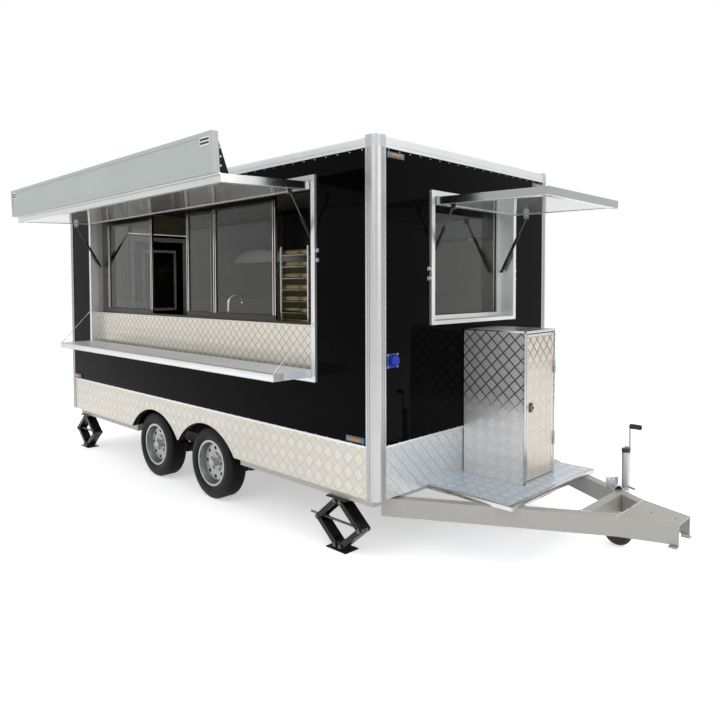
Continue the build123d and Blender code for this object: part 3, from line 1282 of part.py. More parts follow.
def jack_arm(pivot, elbow, inner):
    """Two chamfered bars between a pivot and an elbow, joined by a web."""
    line = Vector(elbow[0] - pivot[0], 0, elbow[1] - pivot[1])
    turn = math.degrees(math.atan2(line.Z, line.X))
    half = JACK_ARM / 2
    length = line.length
    cut = half / 2
    outline = [
        (-half, -cut),
        (-cut, -half),
        (length + cut, -half),
        (length + half, -cut),
        (length + half, cut),
        (length + cut, half),
        (-cut, half),
        (-half, cut),
    ]
    arm = slab_y(outline, (inner, inner + JACK_PLATE)) + slab_y(outline, (-inner - JACK_PLATE, -inner))
    web_x = ((length - JACK_WEB) / 2, (length + JACK_WEB) / 2)
    web_y = grown((-inner, inner), JACK_PLATE / 2)
    web = bar(web_x, web_y, (-JACK_PLATE / 2, JACK_PLATE / 2))
    return Pos(pivot[0], inward(JACK_INSET), pivot[1]) * Rot(0, -turn, 0) * (arm + web)


# Lamps, inlet and inside

def lamp(width, height, depth, corner):
    """A lamp lens about the middle of its back face, facing +Z, with rounded corners."""
    return extrude(RectangleRounded(width, height, corner), amount=depth)


def marker_lamps():
    """Amber lamps at the top of the front wall and low down on both sides."""
    lens = lamp(LAMP_LENGTH, LAMP_HEIGHT, LAMP_DEPTH, LAMP_ROUND)
    low = up(SKIRT_HEIGHT + LAMP_HEIGHT)
    high = Z_RAIL - LAMP_HEIGHT
    front = Plane(origin=(back(PANEL_INSET), inward(2 * POST), high), x_dir=(0, 1, 0), z_dir=(1, 0, 0))
    lamps = [front * lens]
    for x in (back(2 * POST), X_REAR + 2 * POST):
        side = Plane(origin=(x, inward(PANEL_INSET), low), x_dir=(1, 0, 0), z_dir=(0, -1, 0))
        lamps.append(side * lens)
    return both_sides(lamps)


def tail_lamps():
    """Lamp clusters on the rear skirt, halfway between the posts and the door frame."""
    lens = lamp(TAIL_WIDTH, TAIL_HEIGHT, TAIL_DEPTH, TAIL_ROUND)
    door_edge = DOOR_Y[0] - DOOR_GAP - DOOR_FLANGE
    place = (X_REAR + PANEL_INSET, (inward(POST) + door_edge) / 2, up(SKIRT_HEIGHT / 2))
    return both_sides([Plane(origin=place, x_dir=(0, 1, 0), z_dir=(-1, 0, 0)) * lens])


def power_inlet():
    """Power inlet with a sloping lid on the front wall."""
    face = back(PANEL_INSET)
    low = up(INLET_BASE)
    y = (inward(INLET_FROM_SERVICE), inward(INLET_FROM_SERVICE + INLET_WIDTH))
    outline = [
        (face, low),
        (face + INLET_FOOT, low),
        (face + INLET_DEPTH, low + INLET_LIP),
        (face + INLET_BROW, low + INLET_HEIGHT),
        (face, low + INLET_HEIGHT),
    ]
    return slab_y(outline, y)


def inner_counter():
    """Steel bench behind the service windows with a sink, legs and an under shelf."""
    y = (inward(FRAME_DEPTH), inward(FRAME_DEPTH + COUNTER_DEPTH))
    top = Z_FLOOR + COUNTER_HEIGHT
    bench = bar(SERVICE_X, y, (top - COUNTER_SHEET, top))
    bench += bar(SERVICE_X, y, (Z_FLOOR + COUNTER_SHELF - COUNTER_SHEET, Z_FLOOR + COUNTER_SHELF))
    spread = (SERVICE_X[0], (SERVICE_X[0] + SERVICE_X[1] - COUNTER_LEG) / 2, SERVICE_X[1] - COUNTER_LEG)
    for x in spread:
        bench += bar((x, x + COUNTER_LEG), (y[1] - COUNTER_LEG, y[1]), (Z_FLOOR, top))
    middle = back(SINK_FROM_FRONT)
    sink_x = (middle - SINK_LENGTH / 2, middle + SINK_LENGTH / 2)
    sink_y = ((y[0] + y[1] - SINK_WIDTH) / 2, (y[0] + y[1] + SINK_WIDTH) / 2)
    bench += bar(grown(sink_x, WELL_SHEET), grown(sink_y, WELL_SHEET), (top - SINK_DEPTH, top))
    return bench - bar(sink_x, sink_y, (top - SINK_DEPTH + WELL_SHEET, top + WALL))


def sink_tap():
    """Swan neck tap behind the sink."""
    top = Z_FLOOR + COUNTER_HEIGHT
    foot = (back(SINK_FROM_FRONT), inward(FRAME_DEPTH + (COUNTER_DEPTH - SINK_WIDTH) / 4), top)
    bend = TAP_REACH / 2
    neck_z = top + TAP_HEIGHT - bend
    path = Line(foot, (foot[0], foot[1], neck_z))
    crest = (foot[0], foot[1] + bend, top + TAP_HEIGHT)
    path += ThreePointArc(path @ 1, crest, (foot[0], foot[1] + TAP_REACH, neck_z))
    tap = sweep(Plane(origin=foot, z_dir=(0, 0, 1)) * Circle(TAP_RADIUS), path=path)
    return tap + rod(foot, (foot[0], foot[1], top + 2 * TAP_RADIUS), 2 * TAP_RADIUS)


def nodes():
    """Every piece of the trailer by name."""
    found = {
        "chassis_rails": chassis_rails(),
        "chassis_crossmembers": chassis_crossmembers(),
        "drawbar": drawbar(),
        "drawbar_platform": drawbar_platform(),
        "axles": axles(),
        "floor": floor(),
        "wheel_wells": wheel_wells(),
        "service_wall": service_wall(),
        "front_wall": front_wall(),
        "off_wall": off_wall(),
        "rear_wall": rear_wall(),
        "skirts": skirts(),
        "corner_posts": corner_posts(),
        "roof_rails": roof_rails(),
        "corner_caps": corner_caps(),
        "roof": roof(),
        "service_frame": service_frame(),
        "sill_panel": sill_panel(),
        "service_windows": service_windows(),
        "front_frame": front_frame(),
        "front_window": front_window(),
        "window_glass": window_glass(),
        "service_hatch": service_hatch(),
        "sign_board": sign_board(),
        "counter_shelf": counter_shelf(),
        "shelf_stays": shelf_stays(),
        "front_hatch": front_hatch(),
        "gas_box": gas_box(),
        "gas_box_door": gas_box_door(),
        "rear_door_frame": rear_door_frame(),
        "rear_door": rear_door(),
        "jockey_mount": jockey_mount(),
        "jockey_crank": jockey_crank(),
        "jockey_fork": jockey_fork(),
        "jockey_wheel": jockey_wheel(),
        "jack_heads": jack_heads(),
        "jack_arms": jack_arms(),
        "jack_screws": jack_screws(),
        "jack_feet": jack_feet(),
        "marker_lamps": marker_lamps(),
        "tail_lamps": tail_lamps(),
        "power_inlet": power_inlet(),
        "inner_counter": inner_counter(),
        "sink_tap": sink_tap(),
    }
    for hatch in STRUTS:
        found[f"{hatch}_strut_barrels"] = strut_barrels(hatch)
        found[f"{hatch}_strut_rods"] = strut_rods(hatch)
    for axle in AXLES_X:
        for side in WHEEL_Y:
            found[f"tyre_{axle}_{side}"] = on_hub(tyre(), axle, side)
            found[f"wheel_{axle}_{side}"] = on_hub(wheel(), axle, side)
    return found


def main():
    """Write each piece to its own file."""
    os.makedirs("parts", exist_ok=True)
    for name, shape in nodes().items():
        solids = shape if isinstance(shape, list) else [shape]
        whole = solids[0] if len(solids) == 1 else Compound(children=solids)
        export_step(whole, f"parts/{name}.step")


if __name__ == "__main__":
    main()
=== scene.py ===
"""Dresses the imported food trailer: finishes for every solid, small trim, tyres, studio and camera."""

import json
import logging
import math
from dataclasses import dataclass
from enum import Enum
from functools import cache

import bmesh
import bpy
from mathutils import Matrix, Vector


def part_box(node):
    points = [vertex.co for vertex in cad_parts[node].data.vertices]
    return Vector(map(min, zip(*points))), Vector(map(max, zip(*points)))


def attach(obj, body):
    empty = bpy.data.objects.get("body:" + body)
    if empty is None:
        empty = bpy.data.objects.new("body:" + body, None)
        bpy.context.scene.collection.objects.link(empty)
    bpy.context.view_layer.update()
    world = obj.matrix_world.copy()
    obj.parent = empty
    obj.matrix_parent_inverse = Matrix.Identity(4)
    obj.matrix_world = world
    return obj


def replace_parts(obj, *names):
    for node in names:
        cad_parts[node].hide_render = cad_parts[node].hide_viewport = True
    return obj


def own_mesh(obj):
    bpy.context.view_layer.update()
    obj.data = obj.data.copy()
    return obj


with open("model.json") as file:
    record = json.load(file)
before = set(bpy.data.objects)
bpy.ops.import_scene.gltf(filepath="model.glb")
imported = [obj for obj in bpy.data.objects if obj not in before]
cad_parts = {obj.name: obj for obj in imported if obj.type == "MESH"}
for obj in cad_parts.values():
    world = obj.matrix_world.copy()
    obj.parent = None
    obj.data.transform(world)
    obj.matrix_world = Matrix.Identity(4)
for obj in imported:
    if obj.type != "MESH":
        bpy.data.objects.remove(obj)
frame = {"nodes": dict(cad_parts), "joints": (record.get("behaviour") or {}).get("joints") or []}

LOG = logging.getLogger("food_trailer")
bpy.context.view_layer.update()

Colour = tuple[float, float, float]
Point = tuple[float, float, float]
Span = tuple[float, float]
Socket = bpy.types.NodeSocket

BLACK: Colour = (0.0, 0.0, 0.0)
ROAD_DUST: Colour = (0.36, 0.33, 0.29)
# Share of its normal along an axis over which a face counts as square to that axis
SQUARE = 0.7


def dim(colour: Colour, share: float) -> Colour:
    """Colour with its brightness changed to a share."""
    return tuple(share * part for part in colour)


class Side(Enum):
    """Faces of the body, each with its outward direction."""

    FRONT = (1.0, 0.0, 0.0)
    REAR = (-1.0, 0.0, 0.0)
    SERVICE = (0.0, -1.0, 0.0)
    OFF = (0.0, 1.0, 0.0)
    TOP = (0.0, 0.0, 1.0)

    @property
    def outward(self) -> Vector:
        """Unit vector out of the face."""
        return Vector(self.value)


@dataclass(frozen=True)
class Body:
    """Limits of the body box in metres, read from the solids."""

    front: float
    rear: float
    service: float
    off: float
    base: float
    skirt: float
    rail: float
    roof: float

    @classmethod
    def from_frame(cls) -> "Body":
        """Reads the limits from the corner posts, skirts and roof rails.

        Returns:
            The body's limits.
        """
        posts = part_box("corner_posts")
        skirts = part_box("skirts")
        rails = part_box("roof_rails")
        return cls(
            front=posts[1].x,
            rear=posts[0].x,
            service=posts[0].y,
            off=posts[1].y,
            base=posts[0].z,
            skirt=skirts[1].z,
            rail=rails[0].z,
            roof=rails[1].z,
        )

    @property
    def middle_y(self) -> float:
        """Y of the body's middle plane."""
        return (self.service + self.off) / 2


BODY = Body.from_frame()


class Graph:
    """A node tree with short calls to add and join nodes."""

    def __init__(self, tree: bpy.types.NodeTree) -> None:
        """Keeps the tree.

        Args:
            tree: Tree of a material, a world or a node group.
        """
        self.tree = tree

    def add(self, kind: str, **settings: object) -> bpy.types.Node:
        """Adds a node.

        Args:
            kind: Node type without its ShaderNode prefix.
            settings: Attributes to set on the node.

        Returns:
            The new node.
        """
        node = self.tree.nodes.new("ShaderNode" + kind)
        for name, value in settings.items():
            setattr(node, name, value)
        return node

    def feed(self, socket: Socket, value: object) -> None:
        """Sets a socket to a plain value, or links another socket to it.

        Args:
            socket: Input socket.
            value: Output socket or plain value.
        """
        if isinstance(value, Socket):
            self.tree.links.new(value, socket)
        else:
            socket.default_value = value

    def math(self, operation: str, *values: object) -> Socket:
        """Adds a Math node.

        Args:
            operation: Name of the operation.
            values: Its inputs in order.

        Returns:
            The node's output.
        """
        node = self.add("Math", operation=operation)
        for socket, value in zip(node.inputs, values):
            self.feed(socket, value)
        return node.outputs[0]

    def times(self, first: object, second: object) -> Socket:
        """Product of two values."""
        return self.math("MULTIPLY", first, second)

    def plus(self, first: object, second: object) -> Socket:
        """Sum of two values."""
        return self.math("ADD", first, second)

    def minus(self, first: object, second: object) -> Socket:
        """First value less the second."""
        return self.math("SUBTRACT", first, second)

    def size(self, value: object) -> Socket:
        """Value without its sign."""
        return self.math("ABSOLUTE", value)

    def above(self, value: object, limit: object) -> Socket:
        """1 where a value is over a limit, else 0."""
        return self.math("GREATER_THAN", value, limit)

    def pick(self, mask: Socket, first: object, second: object) -> Socket:
        """Second value where the mask is 1, the first where it is 0."""
        return self.plus(self.times(second, mask), self.times(first, self.minus(1.0, mask)))

    def ramp(self, value: object, low: float, high: float, to: Span = (0.0, 1.0)) -> Socket:
        """Maps a range smoothly to another and clamps it.

        Args:
            value: What is mapped.
            low: Value that becomes the first of to.
            high: Value that becomes the second of to.
            to: New range.

        Returns:
            The mapped value.
        """
        node = self.add("MapRange", interpolation_type="SMOOTHSTEP")
        settings = {"Value": value, "From Min": low, "From Max": high, "To Min": to[0], "To Max": to[1]}
        for name, part in settings.items():
            self.feed(node.inputs[name], part)
        return node.outputs["Result"]

    def mix(self, share: object, first: object, second: object) -> Socket:
        """Mixes two colours.

        Args:
            share: Share of the second colour.
            first: First colour.
            second: Second colour.

        Returns:
            The mixed colour.
        """
        node = self.add("Mix", data_type="RGBA")
        self.feed(node.inputs["Factor"], share)
        for name, part in (("A", first), ("B", second)):
            sockets = [socket for socket in node.inputs if socket.name == name and socket.type == "RGBA"]
            self.feed(sockets[0], part if isinstance(part, Socket) else (*part, 1.0))
        return next(socket for socket in node.outputs if socket.type == "RGBA")

    def place(self) -> Socket:
        """Object coordinates."""
        return self.add("TexCoord").outputs["Object"]

    def facing(self) -> Socket:
        """Normals in the object's own frame."""
        return self.add("TexCoord").outputs["Normal"]

    def split(self, vector: Socket) -> tuple[Socket, ...]:
        """Takes a vector apart.

        Args:
            vector: Vector socket.

        Returns:
            Its X, Y and Z.
        """
        node = self.add("SeparateXYZ")
        self.feed(node.inputs[0], vector)
        return tuple(node.outputs)

    def noise(
        self, vector: Socket, scale: float, stretch: Point = (1.0, 1.0, 1.0), detail: float = 4.0
    ) -> Socket:
        """Adds noise on stretched coordinates.

        Args:
            vector: Coordinates.
            scale: Scale of the noise.
            stretch: Scale of each axis before it.
            detail: Octaves.

        Returns:
            Noise from 0 to 1.
        """
        mapping = self.add("Mapping")
        self.feed(mapping.inputs["Vector"], vector)
        mapping.inputs["Scale"].default_value = stretch
        node = self.add("TexNoise")
        self.feed(node.inputs["Vector"], mapping.outputs[0])
        node.inputs["Scale"].default_value = scale
        node.inputs["Detail"].default_value = detail
        return node.outputs["Fac"]

    def group(self, tree: bpy.types.NodeTree, **inputs: object) -> bpy.types.Node:
        """Places a node group.

        Args:
            tree: The group.
            inputs: Values for its inputs, with underscores for spaces.

        Returns:
            The group's node.
        """
        node = self.add("Group", node_tree=tree)
        for name, value in inputs.items():
            self.feed(node.inputs[name.replace("_", " ")], value)
        return node


class Effects:
    """Shared surface effects as shader node groups, each built once."""

    bar_flank: Span = (0.36, 0.14)
    bar_end: Span = (0.47, 0.38)
    seam_edge: Span = (0.38, 0.48)
    film_patch: float = 7.0
    film_grain: float = 90.0
    film_ragged: float = 0.9
    film_cover: Span = (0.2, 0.75)
    broad_scale: float = 3.5
    broad_range: Span = (0.3, 0.7)
    fine_scale: float = 160.0
    fine_range: Span = (0.25, 0.75)

    @staticmethod
    def start(
        name: str, inputs: dict[str, float | None], outputs: tuple[str, ...]
    ) -> tuple[Graph, bpy.types.Node, bpy.types.Node]:
        """Starts a group with named sockets.

        Args:
            name: The group's name.
            inputs: Inputs with their usual values, None for a vector.
            outputs: Names of its float outputs.

        Returns:
            The graph, its input node and its output node.
        """
        tree = bpy.data.node_groups.new(name, "ShaderNodeTree")
        for label, value in inputs.items():
            kind = "NodeSocketVector" if value is None else "NodeSocketFloat"
            socket = tree.interface.new_socket(label, in_out="INPUT", socket_type=kind)
            if value is not None:
                socket.default_value = value
        for label in outputs:
            tree.interface.new_socket(label, in_out="OUTPUT", socket_type="NodeSocketFloat")
        return Graph(tree), tree.nodes.new("NodeGroupInput"), tree.nodes.new("NodeGroupOutput")

    @classmethod
    @cache
    def tread_bars(cls) -> bpy.types.NodeTree:
        """Raised bars of tread plate: diamonds of parallel bars whose direction alternates.

        Returns:
            A group with the bars' height, a mask of the diamonds' seams and one of every second diamond.
        """
        inputs = {"Place": None, "Facing": None, "Width": 0.068, "Height": 0.1, "Bars": 4.0}
        graph, given, result = cls.start("tread_bars", inputs, ("Height", "Seam", "Turned"))
        x, y, z = graph.split(given.outputs["Place"])
        face_x, _, face_z = graph.split(given.outputs["Facing"])
        across = graph.pick(graph.above(graph.size(face_x), SQUARE), x, y)
        along = graph.pick(graph.above(graph.size(face_z), SQUARE), z, y)
        p = graph.math("DIVIDE", across, given.outputs["Width"])
        q = graph.math("DIVIDE", along, given.outputs["Height"])
        u, v = graph.plus(p, q), graph.minus(p, q)
        parity = graph.math("PINGPONG", graph.plus(graph.math("FLOOR", u), graph.math("FLOOR", v)), 1.0)
        turned = graph.above(parity, 0.5)
        part_u, part_v = (graph.minus(graph.math("FRACT", value), 0.5) for value in (u, v))
        lengthwise = graph.pick(turned, part_v, part_u)
        crosswise = graph.pick(turned, part_u, part_v)
        wave = graph.math("FRACT", graph.times(graph.plus(crosswise, 0.5), given.outputs["Bars"]))
        bar = graph.ramp(graph.size(graph.minus(wave, 0.5)), *cls.bar_flank)
        ends = graph.ramp(graph.size(lengthwise), *cls.bar_end)
        edge = graph.math("MAXIMUM", graph.size(part_u), graph.size(part_v))
        graph.feed(result.inputs["Height"], graph.times(bar, ends))
        graph.feed(result.inputs["Seam"], graph.ramp(edge, *cls.seam_edge))
        graph.feed(result.inputs["Turned"], turned)
        return graph.tree

    @classmethod
    @cache
    def road_film(cls) -> bpy.types.NodeTree:
        """Dust that thickens towards the ground.

        Returns:
            A group with the dust's mask.
        """
        graph, given, result = cls.start("road_film", {"Place": None, "Top": 0.7, "Amount": 0.5}, ("Dust",))
        place = given.outputs["Place"]
        height = graph.math("DIVIDE", graph.split(place)[2], given.outputs["Top"])
        patches = graph.noise(place, cls.film_patch, detail=8.0)
        fine = graph.noise(place, cls.film_grain, detail=3.0)
        level = graph.plus(height, graph.times(graph.minus(patches, 0.5), cls.film_ragged))
        dust = graph.times(graph.ramp(level, 1.0, 0.0), graph.ramp(fine, *cls.film_cover))
        graph.feed(result.inputs["Dust"], graph.times(dust, given.outputs["Amount"]))
        return graph.tree

    @classmethod
    @cache
    def patches(cls) -> bpy.types.NodeTree:
        """Broad and fine unevenness.

        Returns:
            A group with a broad and a fine value, both from 0 to 1.
        """
        graph, given, result = cls.start("patches", {"Place": None}, ("Broad", "Fine"))
        broad = graph.noise(given.outputs["Place"], cls.broad_scale, detail=6.0)
        fine = graph.noise(given.outputs["Place"], cls.fine_scale, detail=4.0)
        graph.feed(result.inputs["Broad"], graph.ramp(broad, *cls.broad_range))
        graph.feed(result.inputs["Fine"], graph.ramp(fine, *cls.fine_range))
        return graph.tree

    @classmethod
    @cache
    def indoors(cls) -> bpy.types.NodeTree:
        """Marks the surfaces that line the inside of the body.

        Returns:
            A group whose mask is 1 indoors.
        """
        graph, given, result = cls.start("indoors", {"Place": None, "Wall": 0.05}, ("Inside",))
        x, y, z = graph.split(given.outputs["Place"])
        nearest = graph.minus(BODY.front, x)
        for limits in ((x, BODY.rear), (y, BODY.service), (BODY.off, y), (BODY.roof, z)):
            nearest = graph.math("MINIMUM", nearest, graph.minus(*limits))
        graph.feed(result.inputs["Inside"], graph.above(nearest, given.outputs["Wall"]))
        return graph.tree


@dataclass(frozen=True)
class Finish:
    """A painted or moulded finish with uneven colour and gloss."""

    name: str
    colour: Colour
    roughness: float = 0.5
    metallic: float = 0.0
    mottle: float = 0.12
    grain: float = 0.0
    coat: float = 0.0
    dust: float = 0.0
    dust_top: float = 0.7
    specular: float = 0.5
    coat_roughness: float = 0.08
    dust_roughness: float = 0.4
    uneven_gloss: float = 0.25
    mottle_tone: float = 0.6
    mottle_mix: float = 0.35

    @cache
    def material(self) -> bpy.types.Material:
        """Makes the material once.

        Returns:
            The material of this finish.
        """
        made = bpy.data.materials.new(self.name)
        made.use_nodes = True
        shader = next(node for node in made.node_tree.nodes if node.type == "BSDF_PRINCIPLED")
        shader.inputs["Metallic"].default_value = self.metallic
        shader.inputs["Coat Weight"].default_value = self.coat
        shader.inputs["Specular IOR Level"].default_value = self.specular
        shader.inputs["Coat Roughness"].default_value = self.coat_roughness
        self.paint(Graph(made.node_tree), shader)
        return made

    def paint(self, graph: Graph, shader: bpy.types.Node) -> None:
        """Feeds colour, roughness and bump.

        Args:
            graph: The material's graph.
            shader: Its Principled node.
        """
        self.shade(graph, shader, self.colour)

    def shade(
        self, graph: Graph, shader: bpy.types.Node, colour: Socket | Colour,
        gloss: Socket | None = None, height: Socket | None = None, depth: float = 0.001,
    ) -> None:
        """Adds the shared unevenness and dust to a colour.

        Args:
            graph: The material's graph.
            shader: Its Principled node.
            colour: Plain colour or socket.
            gloss: Roughness, the finish's own where it is None.
            height: Socket with a relief to add to the grain.
            depth: Height of that relief in metres.
        """
        place = graph.place()
        uneven = graph.group(Effects.patches(), Place=place)
        if isinstance(colour, Socket):
            dark = graph.mix(self.mottle_mix, colour, BLACK)
        else:
            dark = dim(colour, self.mottle_tone)
        colour = graph.mix(graph.times(uneven.outputs["Broad"], self.mottle), colour, dark)
        change = graph.times(graph.minus(uneven.outputs["Fine"], 0.5), self.uneven_gloss * self.roughness)
        rough = graph.plus(self.roughness if gloss is None else gloss, change)
        if self.dust:
            film = graph.group(Effects.road_film(), Place=place, Top=self.dust_top, Amount=self.dust)
            colour = graph.mix(film.outputs["Dust"], colour, ROAD_DUST)
            rough = graph.plus(rough, graph.times(film.outputs["Dust"], self.dust_roughness))
        graph.feed(shader.inputs["Base Color"], colour)
        graph.feed(shader.inputs["Roughness"], rough)
        normal = None
        if self.grain:
            normal = self.relief(graph, uneven.outputs["Fine"], self.grain, None)
        if height is not None:
            normal = self.relief(graph, height, depth, normal)
        if normal is not None:
            graph.feed(shader.inputs["Normal"], normal)

    @staticmethod
    def relief(graph: Graph, height: Socket, depth: float, under: Socket | None) -> Socket:
        """Adds a Bump node.

        Args:
            graph: The material's graph.
            height: Relief from 0 to 1.
            depth: Its height in metres.
            under: Normal below it.

        Returns:
            The new normal.
        """
        bump = graph.add("Bump")
        bump.inputs["Strength"].default_value = 1.0
        bump.inputs["Distance"].default_value = depth
        graph.feed(bump.inputs["Height"], height)
        if under is not None:
            graph.feed(bump.inputs["Normal"], under)
        return bump.outputs["Normal"]


@dataclass(frozen=True)
class GlossPanel(Finish):
    """Gloss outer skin of a wall or the roof, with a lining indoors in a dim colour that is painted shade of
    the interior.
    """

    # Lining colour: dim olive-brown, painted shade of the interior
    lining: Colour = (0.28, 0.235, 0.145)
    lining_roughness: float = 0.45
    wave: float = 1.6
    wave_depth: float = 0.004

    def paint(self, graph: Graph, shader: bpy.types.Node) -> None:
        """Gloss outside, lined inside in a dim colour of painted shade, with a slight wave in the skin."""
        place = graph.place()
        inside = graph.group(Effects.indoors(), Place=place).outputs["Inside"]
        # Indoors the colour is the lining's painted shade
        colour = graph.mix(inside, self.colour, self.lining)
        gloss = graph.plus(self.roughness, graph.times(inside, self.lining_roughness))
        wave = graph.noise(place, self.wave, detail=1.0)
        self.shade(graph, shader, colour, gloss, wave, self.wave_depth)


@dataclass(frozen=True)
class TreadPlate(Finish):
    """Bright aluminium plate with raised bars."""

    width: float = 0.088
    height: float = 0.088
    bars: float = 5.0
    depth: float = 0.0007
    # Seam lines along the diamonds: painted reflection of dark surroundings in the flat plate between bar
    # groups, full above the fade and a faint share below it
    seam: float = 0.45
    seam_reflection_tone: float = 0.06
    faint: float = 0.15
    # Painted shade: darker between the raised bars and on every second diamond, whose bars catch the light
    # the other way
    low: float = 0.74
    turned: float = 0.94
    fade: Span = (-1.0, -0.5)
    # Painted reflection of the dark wall: darkening above the fade
    dark_wall_reflection: float = 0.0
    wall_reflection_tone: float = 0.25
    polish: float = 0.35
    # Paler tint of the faces that look along the body: painted light
    ends: Colour | None = None

    def paint(self, graph: Graph, shader: bpy.types.Node) -> None:
        """Raised bars with painted shade between them and on every second diamond, painted dark reflections
        along the seams and above the fade, and end walls in a paler tint of painted light.
        """
        place, facing = graph.place(), graph.facing()
        pattern = {"Width": self.width, "Height": self.height, "Bars": self.bars}
        bars = graph.group(Effects.tread_bars(), Place=place, Facing=facing, **pattern)
        raised = bars.outputs["Height"]
        on_lit_end = graph.above(graph.size(graph.split(facing)[0]), SQUARE) if self.ends else None
        # Painted shade between the bars and on every second diamond
        upright, turned = (
            graph.mix(raised, self.toned(graph, on_lit_end, share * self.low), self.toned(graph, on_lit_end, share))
            for share in (1.0, self.turned)
        )
        colour = graph.mix(bars.outputs["Turned"], upright, turned)
        height = graph.split(place)[2]
        # Painted reflection of the dark wall above the fade
        if self.dark_wall_reflection:
            over = graph.ramp(height, *self.fade, (0.0, self.dark_wall_reflection))
            colour = graph.mix(over, colour, dim(self.colour, self.wall_reflection_tone))
        # Seam lines of painted dark reflection, stronger above the fade
        seam_reflection_strength = graph.ramp(height, *self.fade, (self.faint * self.seam, self.seam))
        line = graph.times(bars.outputs["Seam"], seam_reflection_strength)
        colour = graph.mix(line, colour, dim(self.colour, self.seam_reflection_tone))
        gloss = graph.minus(self.roughness, graph.times(raised, self.polish * self.roughness))
        self.shade(graph, shader, colour, gloss, raised, self.depth)

    def toned(self, graph: Graph, on_lit_end: Socket | None, share: float) -> Socket | Colour:
        """Colour of the plate at a share of its brightness, mixed with the paler painted-light tint of its
        ends where they have one.
        """
        plain = dim(self.colour, share)
        return plain if on_lit_end is None else graph.mix(on_lit_end, plain, dim(self.ends, share))


@dataclass(frozen=True)
class Brushed(Finish):
    """Metal with fine lines along one axis."""

    stretch: Point = (1.0, 60.0, 60.0)
    lines: float = 40.0
    depth: float = 0.00025
    tone: float = 0.8
    streaks: Span = (0.3, 0.7)
    streak_gloss: float = 0.3

    def paint(self, graph: Graph, shader: bpy.types.Node) -> None:
        """Long thin streaks in colour, gloss and relief."""
        streak = graph.noise(graph.place(), self.lines, self.stretch, 3.0)
        colour = graph.mix(graph.ramp(streak, *self.streaks), dim(self.colour, self.tone), self.colour)
        gloss = graph.plus(self.roughness, graph.times(graph.minus(streak, 0.5), self.streak_gloss))
        self.shade(graph, shader, colour, gloss, streak, self.depth)


@dataclass(frozen=True)
class Galvanised(Finish):
    """Zinc with a faint spangle."""

    spangle: float = 55.0
    tone: float = 0.95
    flake_gloss: float = 0.14

    def paint(self, graph: Graph, shader: bpy.types.Node) -> None:
        """Flakes of slightly different grey."""
        cells = graph.add("TexVoronoi")
        graph.feed(cells.inputs["Vector"], graph.place())
        cells.inputs["Scale"].default_value = self.spangle
        flake = graph.split(cells.outputs["Color"])[0]
        colour = graph.mix(flake, dim(self.colour, self.tone), self.colour)
        gloss = graph.plus(self.roughness, graph.times(flake, self.flake_gloss))
        self.shade(graph, shader, colour, gloss)


@dataclass(frozen=True)
class HatchSkin(Finish):
    """Hatch panel: lining, metal edge and gloss outer skin by the way each face points."""

    outward: Point = (0.0, 0.0, 1.0)
    skin: Colour = (0.006, 0.006, 0.007)
    skin_roughness: float = 0.09
    edge: Colour = (0.64, 0.65, 0.655)
    edge_metallic: float = 1.0
    inner_coat: float = 0.0

    def outwards(self, graph: Graph, vector: Socket) -> Socket:
        """Length of a vector along the outward direction.

        Args:
            graph: The material's graph.
            vector: Vector socket.

        Returns:
            The length.
        """
        dot = graph.add("VectorMath", operation="DOT_PRODUCT")
        graph.feed(dot.inputs[0], vector)
        dot.inputs[1].default_value = self.outward
        return dot.outputs["Value"]

    def paint(self, graph: Graph, shader: bpy.types.Node) -> None:
        """Picks the colour by how far a face looks along the outward direction."""
        look = self.outwards(graph, graph.facing())
        outer = graph.above(look, SQUARE)
        inner = graph.math("LESS_THAN", look, -SQUARE)
        side = graph.minus(1.0, graph.plus(outer, inner))
        colour = graph.mix(outer, graph.mix(side, self.colour, self.edge), self.skin)
        gloss = graph.minus(self.roughness, graph.times(outer, self.roughness - self.skin_roughness))
        graph.feed(shader.inputs["Metallic"], graph.times(side, self.edge_metallic))
        if self.inner_coat:
            graph.feed(shader.inputs["Coat Weight"], graph.times(inner, self.inner_coat))
        self.shade(graph, shader, colour, gloss)


@dataclass(frozen=True)
class SignSkin(HatchSkin):
    """Sign board with black stop gussets behind it."""

    gusset: Colour = (0.010, 0.013, 0.011)
    clear: float = 0.0008

    def paint(self, graph: Graph, shader: bpy.types.Node) -> None:
        """Paints what stands behind the board's back face black."""
        super().paint(graph, shader)
        hinge = joint_place("sign_board").dot(Vector(self.outward))
        behind = graph.above(self.outwards(graph, graph.place()), hinge + self.clear)
        colour, metallic = shader.inputs["Base Color"], shader.inputs["Metallic"]
        graph.feed(colour, graph.mix(behind, colour.links[0].from_socket, self.gusset))
        graph.feed(metallic, graph.times(metallic.links[0].from_socket, graph.minus(1.0, behind)))


@dataclass(frozen=True)
class Glazing(Finish):
    """Clear or tinted pane."""

    ior: float = 1.32
    smear: float = 5.0
    smear_stretch: Point = (1.0, 1.0, 0.3)
    smear_tone: float = 0.93
    smear_roughness: float = 0.05

    def paint(self, graph: Graph, shader: bpy.types.Node) -> None:
        """Clear glass with a trace of smears."""
        shader.inputs["Transmission Weight"].default_value = 1.0
        shader.inputs["IOR"].default_value = self.ior
        smear = graph.noise(graph.place(), self.smear, self.smear_stretch, 5.0)
        colour = graph.mix(graph.ramp(smear, 0.45, 0.8), self.colour, dim(self.colour, self.smear_tone))
        graph.feed(shader.inputs["Base Color"], colour)
        graph.feed(shader.inputs["Roughness"], graph.ramp(smear, 0.5, 0.9, (0.0, self.smear_roughness)))


